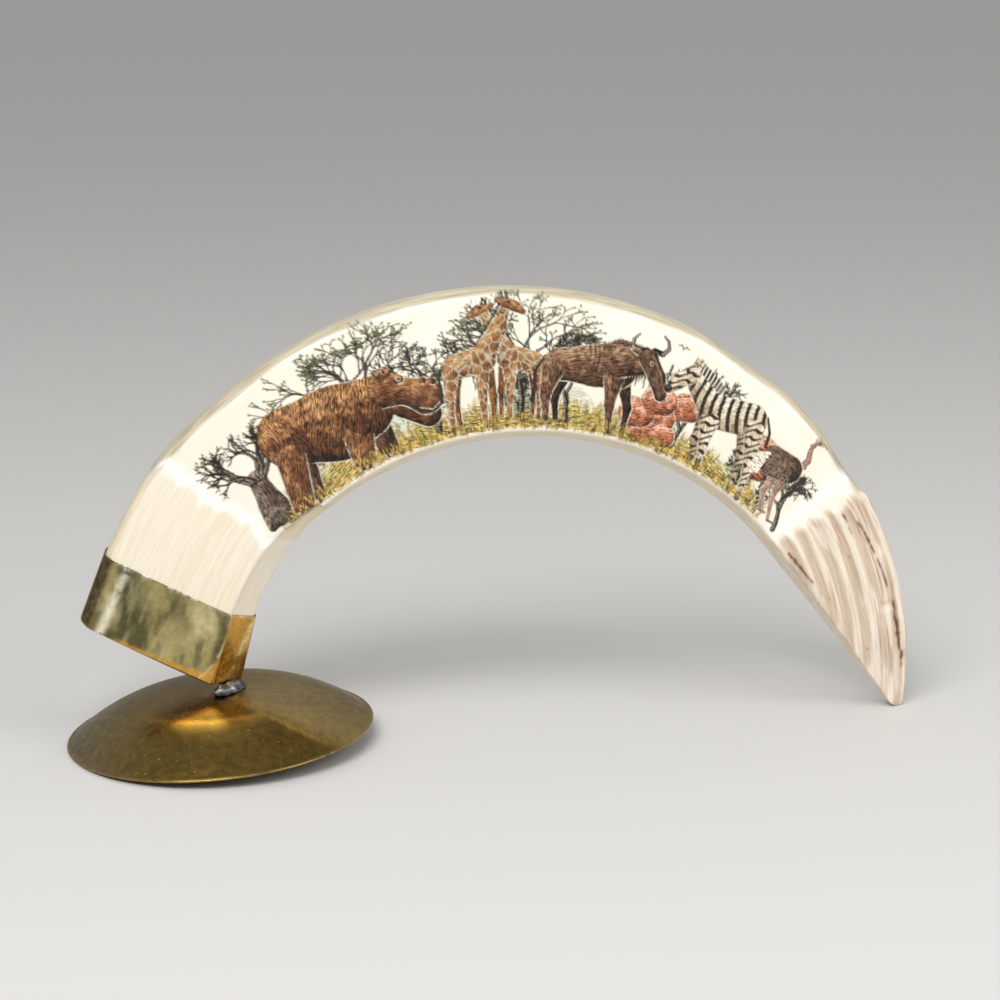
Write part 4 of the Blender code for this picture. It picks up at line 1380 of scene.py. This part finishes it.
def make_collar(shift):
    points, facts, ups = [], [], []
    for grow, share in collar_stations():
        low, low_facts = section(COLLAR_BOTTOM_ANGLE, COLLAR_CORNER_STEPS, COLLAR_EDGE_STEPS, grow,
                                 COLLAR_BOTTOM_LEAN, False)
        high, high_facts = section(RING_ANGLE, COLLAR_CORNER_STEPS, COLLAR_EDGE_STEPS, grow,
                                   COLLAR_RING_LEAN, False)
        points.append(low + (high - low) * share)
        facts.append(low_facts + (high_facts - low_facts) * share)
        ups.append(np.full(len(low), share))
    rows, columns = len(points), len(points[0])
    points = np.vstack(points) + np.array([shift, 0.0, 0.0])
    facts = np.vstack(facts)
    ups = np.concatenate(ups)
    colour, rough = collar_colours(facts, ups, points[:, 1])
    faces = [face[::-1] for face in ring_faces(rows, columns)]
    faces.append(tuple(range(columns)))
    faces.append(tuple((rows - 1) * columns + column for column in range(columns - 1, -1, -1)))
    look = metal_material("collar_brass", 420.0, 0.16)
    return make_metal_piece("collar_surface", points, faces, colour, rough, look,
                            "brass_collar")


# Foot: a thin spun dish, tilted so that its left rim rests on the table
FOOT_RADIUS = 0.0630
FOOT_WALL = 0.0010
FOOT_TILT = radians(3.6)
FOOT_DOME_POWER = 2.7
FOOT_RISE = 0.0190079
FOOT_CENTRE_X = -0.1141208
FOOT_SEGMENTS = 192
FOOT_ROWS = 64
FOOT_BROWN = (0.27, 0.18, 0.048)
FOOT_HAZE = (0.29, 0.25, 0.165)
FOOT_DARK_REFLECTION = (0.115, 0.072, 0.017)
FOOT_TAN_REFLECTION = (0.42, 0.31, 0.13)
FOOT_ORANGE_REFLECTION = (0.52, 0.29, 0.055)
FOOT_EDGE = (0.62, 0.42, 0.16)


def foot_profile():
    """Radius and height from the middle of the top, over the rounded rim, to the middle below."""
    upper = []
    for share in np.linspace(0.0, 1.0, FOOT_ROWS + 1)[1:]:
        radius = FOOT_RADIUS * share
        upper.append((radius, max(FOOT_RISE * (1 - share ** FOOT_DOME_POWER), FOOT_WALL)))
    upper = upper[:-1]
    half = FOOT_WALL / 2
    rim = [(FOOT_RADIUS - half + half * sin(turn), half + half * cos(turn))
           for turn in np.linspace(0.0, pi, 9)]
    under = [((FOOT_RADIUS - FOOT_WALL) * radius / FOOT_RADIUS, height - FOOT_WALL)
             for radius, height in upper[-2::-2]]
    return upper + rim + under


def foot_colours(share, turn, below):
    """Satin brass, hazy at the left and back, with painted reflections: dark in front, lighter at the
    right, orange lines and two glints.
    """
    x, y = share * np.cos(turn), share * np.sin(turn)
    cloud = layered_noise(x * 4.0 + 9.0, y * 4.0 + 9.0, 121)
    colour = np.tile(np.array(FOOT_BROWN), (len(share), 1))
    hazy = smooth_step(y - 0.35 * x, -0.05, 0.5) + smooth_step(-x, 0.45, 0.95) * 0.7
    colour = mix(colour, FOOT_HAZE, np.clip(hazy, 0, 1) * 0.8)
    # Painted reflections: an edge runs from the middle to the lower right, with lighter tan beyond it
    # at the right
    reflection_edge = np.degrees(turn) + 84.0 - 43.0 * share + 3.0 * (cloud - 0.5)
    right = smooth_step(reflection_edge, -1.5, 9.0) * (1 - smooth_step(y, 0.5, 1.0)) * smooth_step(x, -0.05, 0.3)
    colour = mix(colour, FOOT_TAN_REFLECTION, right * 0.6)
    # Painted reflection: dark in front of the edge, out to the rim and nearer the middle, with an
    # orange band and an orange line along the edge
    front = (1 - smooth_step(reflection_edge, -5.0, 0.0)) * smooth_step(np.degrees(turn), -165.0, -110.0)
    colour = mix(colour, FOOT_DARK_REFLECTION, front * smooth_step(share, 0.56, 0.66) * (0.6 + 0.3 * cloud))
    inside = front * smooth_step(share, 0.10, 0.25) * (1 - smooth_step(share, 0.50, 0.56))
    colour = mix(colour, FOOT_DARK_REFLECTION, inside * 0.75)
    band = np.exp(-((share - 0.555) / 0.022) ** 2)
    colour = mix(colour, FOOT_ORANGE_REFLECTION, front * band * 0.6)
    line = np.exp(-((reflection_edge + 1.0) / 1.3) ** 2) * smooth_step(share, 0.5, 0.6)
    colour = mix(colour, FOOT_ORANGE_REFLECTION, line * (1 - smooth_step(share, 0.85, 0.97)) * 0.7)
    # Painted glints: two small bright spots near the top, below the solder
    for middle, half_width in ((-78.0, 9.0), (-116.0, 11.0)):
        glint = np.exp(-((np.degrees(turn) - middle) / half_width) ** 2 - ((share - 0.21) / 0.06) ** 2)
        colour = mix(colour, (1.0, 0.72, 0.32), glint * smooth_step(cloud, 0.25, 0.6))
    colour = mix(colour, FOOT_EDGE, smooth_step(share, 0.988, 0.997) * 0.3)
    colour = mix(colour, FOOT_BROWN, below * 0.9)
    rough = 0.36 + 0.10 * np.clip(hazy, 0, 1) + 0.08 * (cloud - 0.5) - 0.08 * front
    return colour * (0.86 + 0.28 * cloud[:, None]), rough


def make_foot():
    profile = np.array([(0.0, FOOT_RISE), *foot_profile(), (0.0, FOOT_RISE - FOOT_WALL)])
    turns = 2 * pi * np.arange(FOOT_SEGMENTS) / FOOT_SEGMENTS - pi
    rows = len(profile) - 2
    radius = np.repeat(profile[1:-1, 0], FOOT_SEGMENTS)
    height = np.repeat(profile[1:-1, 1], FOOT_SEGMENTS)
    turn = np.tile(turns, rows)
    ends = profile[[0, -1]]
    radius = np.concatenate([radius, ends[:, 0]])
    height = np.concatenate([height, ends[:, 1]])
    turn = np.concatenate([turn, [0.0, 0.0]])
    top, bottom = rows * FOOT_SEGMENTS, rows * FOOT_SEGMENTS + 1
    faces = [face[::-1] for face in ring_faces(rows, FOOT_SEGMENTS)]
    last = (rows - 1) * FOOT_SEGMENTS
    for index in range(FOOT_SEGMENTS):
        after = (index + 1) % FOOT_SEGMENTS
        faces.append((top, index, after))
        faces.append((bottom, last + after, last + index))
    x, y = radius * np.cos(turn), radius * np.sin(turn)
    tilted_x = FOOT_CENTRE_X + x * cos(FOOT_TILT) - height * sin(FOOT_TILT)
    tilted_z = FOOT_RADIUS * sin(FOOT_TILT) + x * sin(FOOT_TILT) + height * cos(FOOT_TILT)
    points = np.column_stack([tilted_x, y, tilted_z])
    below = np.zeros(len(points))
    below[(FOOT_ROWS + 8) * FOOT_SEGMENTS:-2] = 1.0
    colour, rough = foot_colours(radius / FOOT_RADIUS, turn, below)
    look = metal_material("foot_brass", 300.0, 0.05, 0.6)
    return make_metal_piece("foot_surface", points, faces, colour, rough, look,
                            "brass_foot")


LUMP_DEPTH = 0.0007
SOLDER_DARK = (0.13, 0.13, 0.135)
SOLDER_PALE = (0.52, 0.55, 0.60)


def make_solder():
    """The bead of the solid, made finer and drawn in here and there to a lumpy surface."""
    bead = bpy.data.objects["solder_bead"]
    work = bmesh.new()
    work.from_mesh(bead.data)
    bmesh.ops.transform(work, matrix=bead.matrix_world, verts=work.verts)
    bmesh.ops.remove_doubles(work, verts=work.verts, dist=1e-5)
    bmesh.ops.triangulate(work, faces=work.faces)
    bmesh.ops.subdivide_edges(work, edges=work.edges, cuts=3, use_grid_fill=True)
    work.normal_update()
    points = np.array([vert.co for vert in work.verts])
    normals = np.array([vert.normal for vert in work.verts])
    faces = [tuple(vert.index for vert in face.verts) for face in work.faces]
    work.free()
    lumps = layered_noise(points[:, 0] * 420.0 + points[:, 2] * 300.0, points[:, 1] * 420.0, 131, 2)
    points = points - normals * (LUMP_DEPTH * lumps)[:, None]
    pale = smooth_step(1 - lumps, 0.45, 0.75)
    colour = mix(np.tile(np.array(SOLDER_DARK), (len(points), 1)), SOLDER_PALE, pale * 0.7)
    rough = 0.42 - 0.15 * pale
    look = metal_material("tin_solder", 900.0, 0.25)
    return make_metal_piece("solder_surface", points, faces, colour, rough, look,
                            "solder_bead")


def add_camera():
    data = bpy.data.cameras.new("camera")
    data.lens = CAMERA_LENS
    data.sensor_width = CAMERA_SENSOR
    data.clip_start = 0.05
    data.clip_end = 60.0
    camera = bpy.data.objects.new("camera", data)
    bpy.context.scene.collection.objects.link(camera)
    yaw = Euler((0, 0, CAMERA_YAW)).to_matrix()
    pitch = Euler((radians(90) - CAMERA_PITCH, 0, 0)).to_matrix()
    turn = yaw @ pitch @ Euler((0, 0, CAMERA_ROLL)).to_matrix()
    camera.matrix_world = Matrix.Translation(CAMERA_PLACE) @ turn.to_4x4()
    bpy.context.scene.camera = camera


def add_area_light(name, place, target, size, power):
    data = bpy.data.lights.new(name, "AREA")
    data.shape = "RECTANGLE"
    data.size, data.size_y = size
    data.energy = power
    light = bpy.data.objects.new(name, data)
    bpy.context.scene.collection.objects.link(light)
    light.location = place
    light.rotation_euler = (Vector(target) - Vector(place)).to_track_quat("-Z", "Y").to_euler()


def add_floor():
    mesh = bpy.data.meshes.new("floor")
    mesh.from_pydata([(-15, -15, 0), (15, -15, 0), (15, 15, 0), (-15, 15, 0)], [], [(0, 1, 2, 3)])
    floor = bpy.data.objects.new("floor", mesh)
    bpy.context.scene.collection.objects.link(floor)
    look, _, shader = new_material("floor")
    socket(shader, "Base Color", (0.62, 0.61, 0.59, 1.0))
    socket(shader, "Roughness", 0.85)
    mesh.materials.append(look)


def add_world():
    world = bpy.data.worlds.new("world")
    bpy.context.scene.world = world
    world.use_nodes = True
    tree = world.node_tree
    background = tree.nodes["Background"]
    coordinates = node(tree, "ShaderNodeTexCoord")
    split = node(tree, "ShaderNodeSeparateXYZ")
    tree.links.new(coordinates.outputs["Generated"], split.inputs[0])
    ramp = node(tree, "ShaderNodeValToRGB")
    ramp.color_ramp.elements[0].position = 0.0
    ramp.color_ramp.elements[0].color = (0.20, 0.19, 0.17, 1.0)
    ramp.color_ramp.elements[1].position = 0.7
    ramp.color_ramp.elements[1].color = (0.90, 0.90, 0.90, 1.0)
    tree.links.new(split.outputs[2], ramp.inputs["Fac"])
    tree.links.new(ramp.outputs["Color"], background.inputs["Color"])
    background.inputs["Strength"].default_value = 0.65


bpy.context.scene.view_settings.view_transform = "Standard"
add_camera()
add_world()
add_floor()
add_area_light("key", (-0.5, -1.0, 1.3), (0, 0, 0.08), (1.0, 0.8), 20)
add_area_light("fill", (1.1, -0.8, 0.8), (0, 0, 0.08), (0.9, 0.9), 9)
side_shift = arch_shift()
make_tooth(side_shift)
make_collar(side_shift)
make_foot()
make_solder()
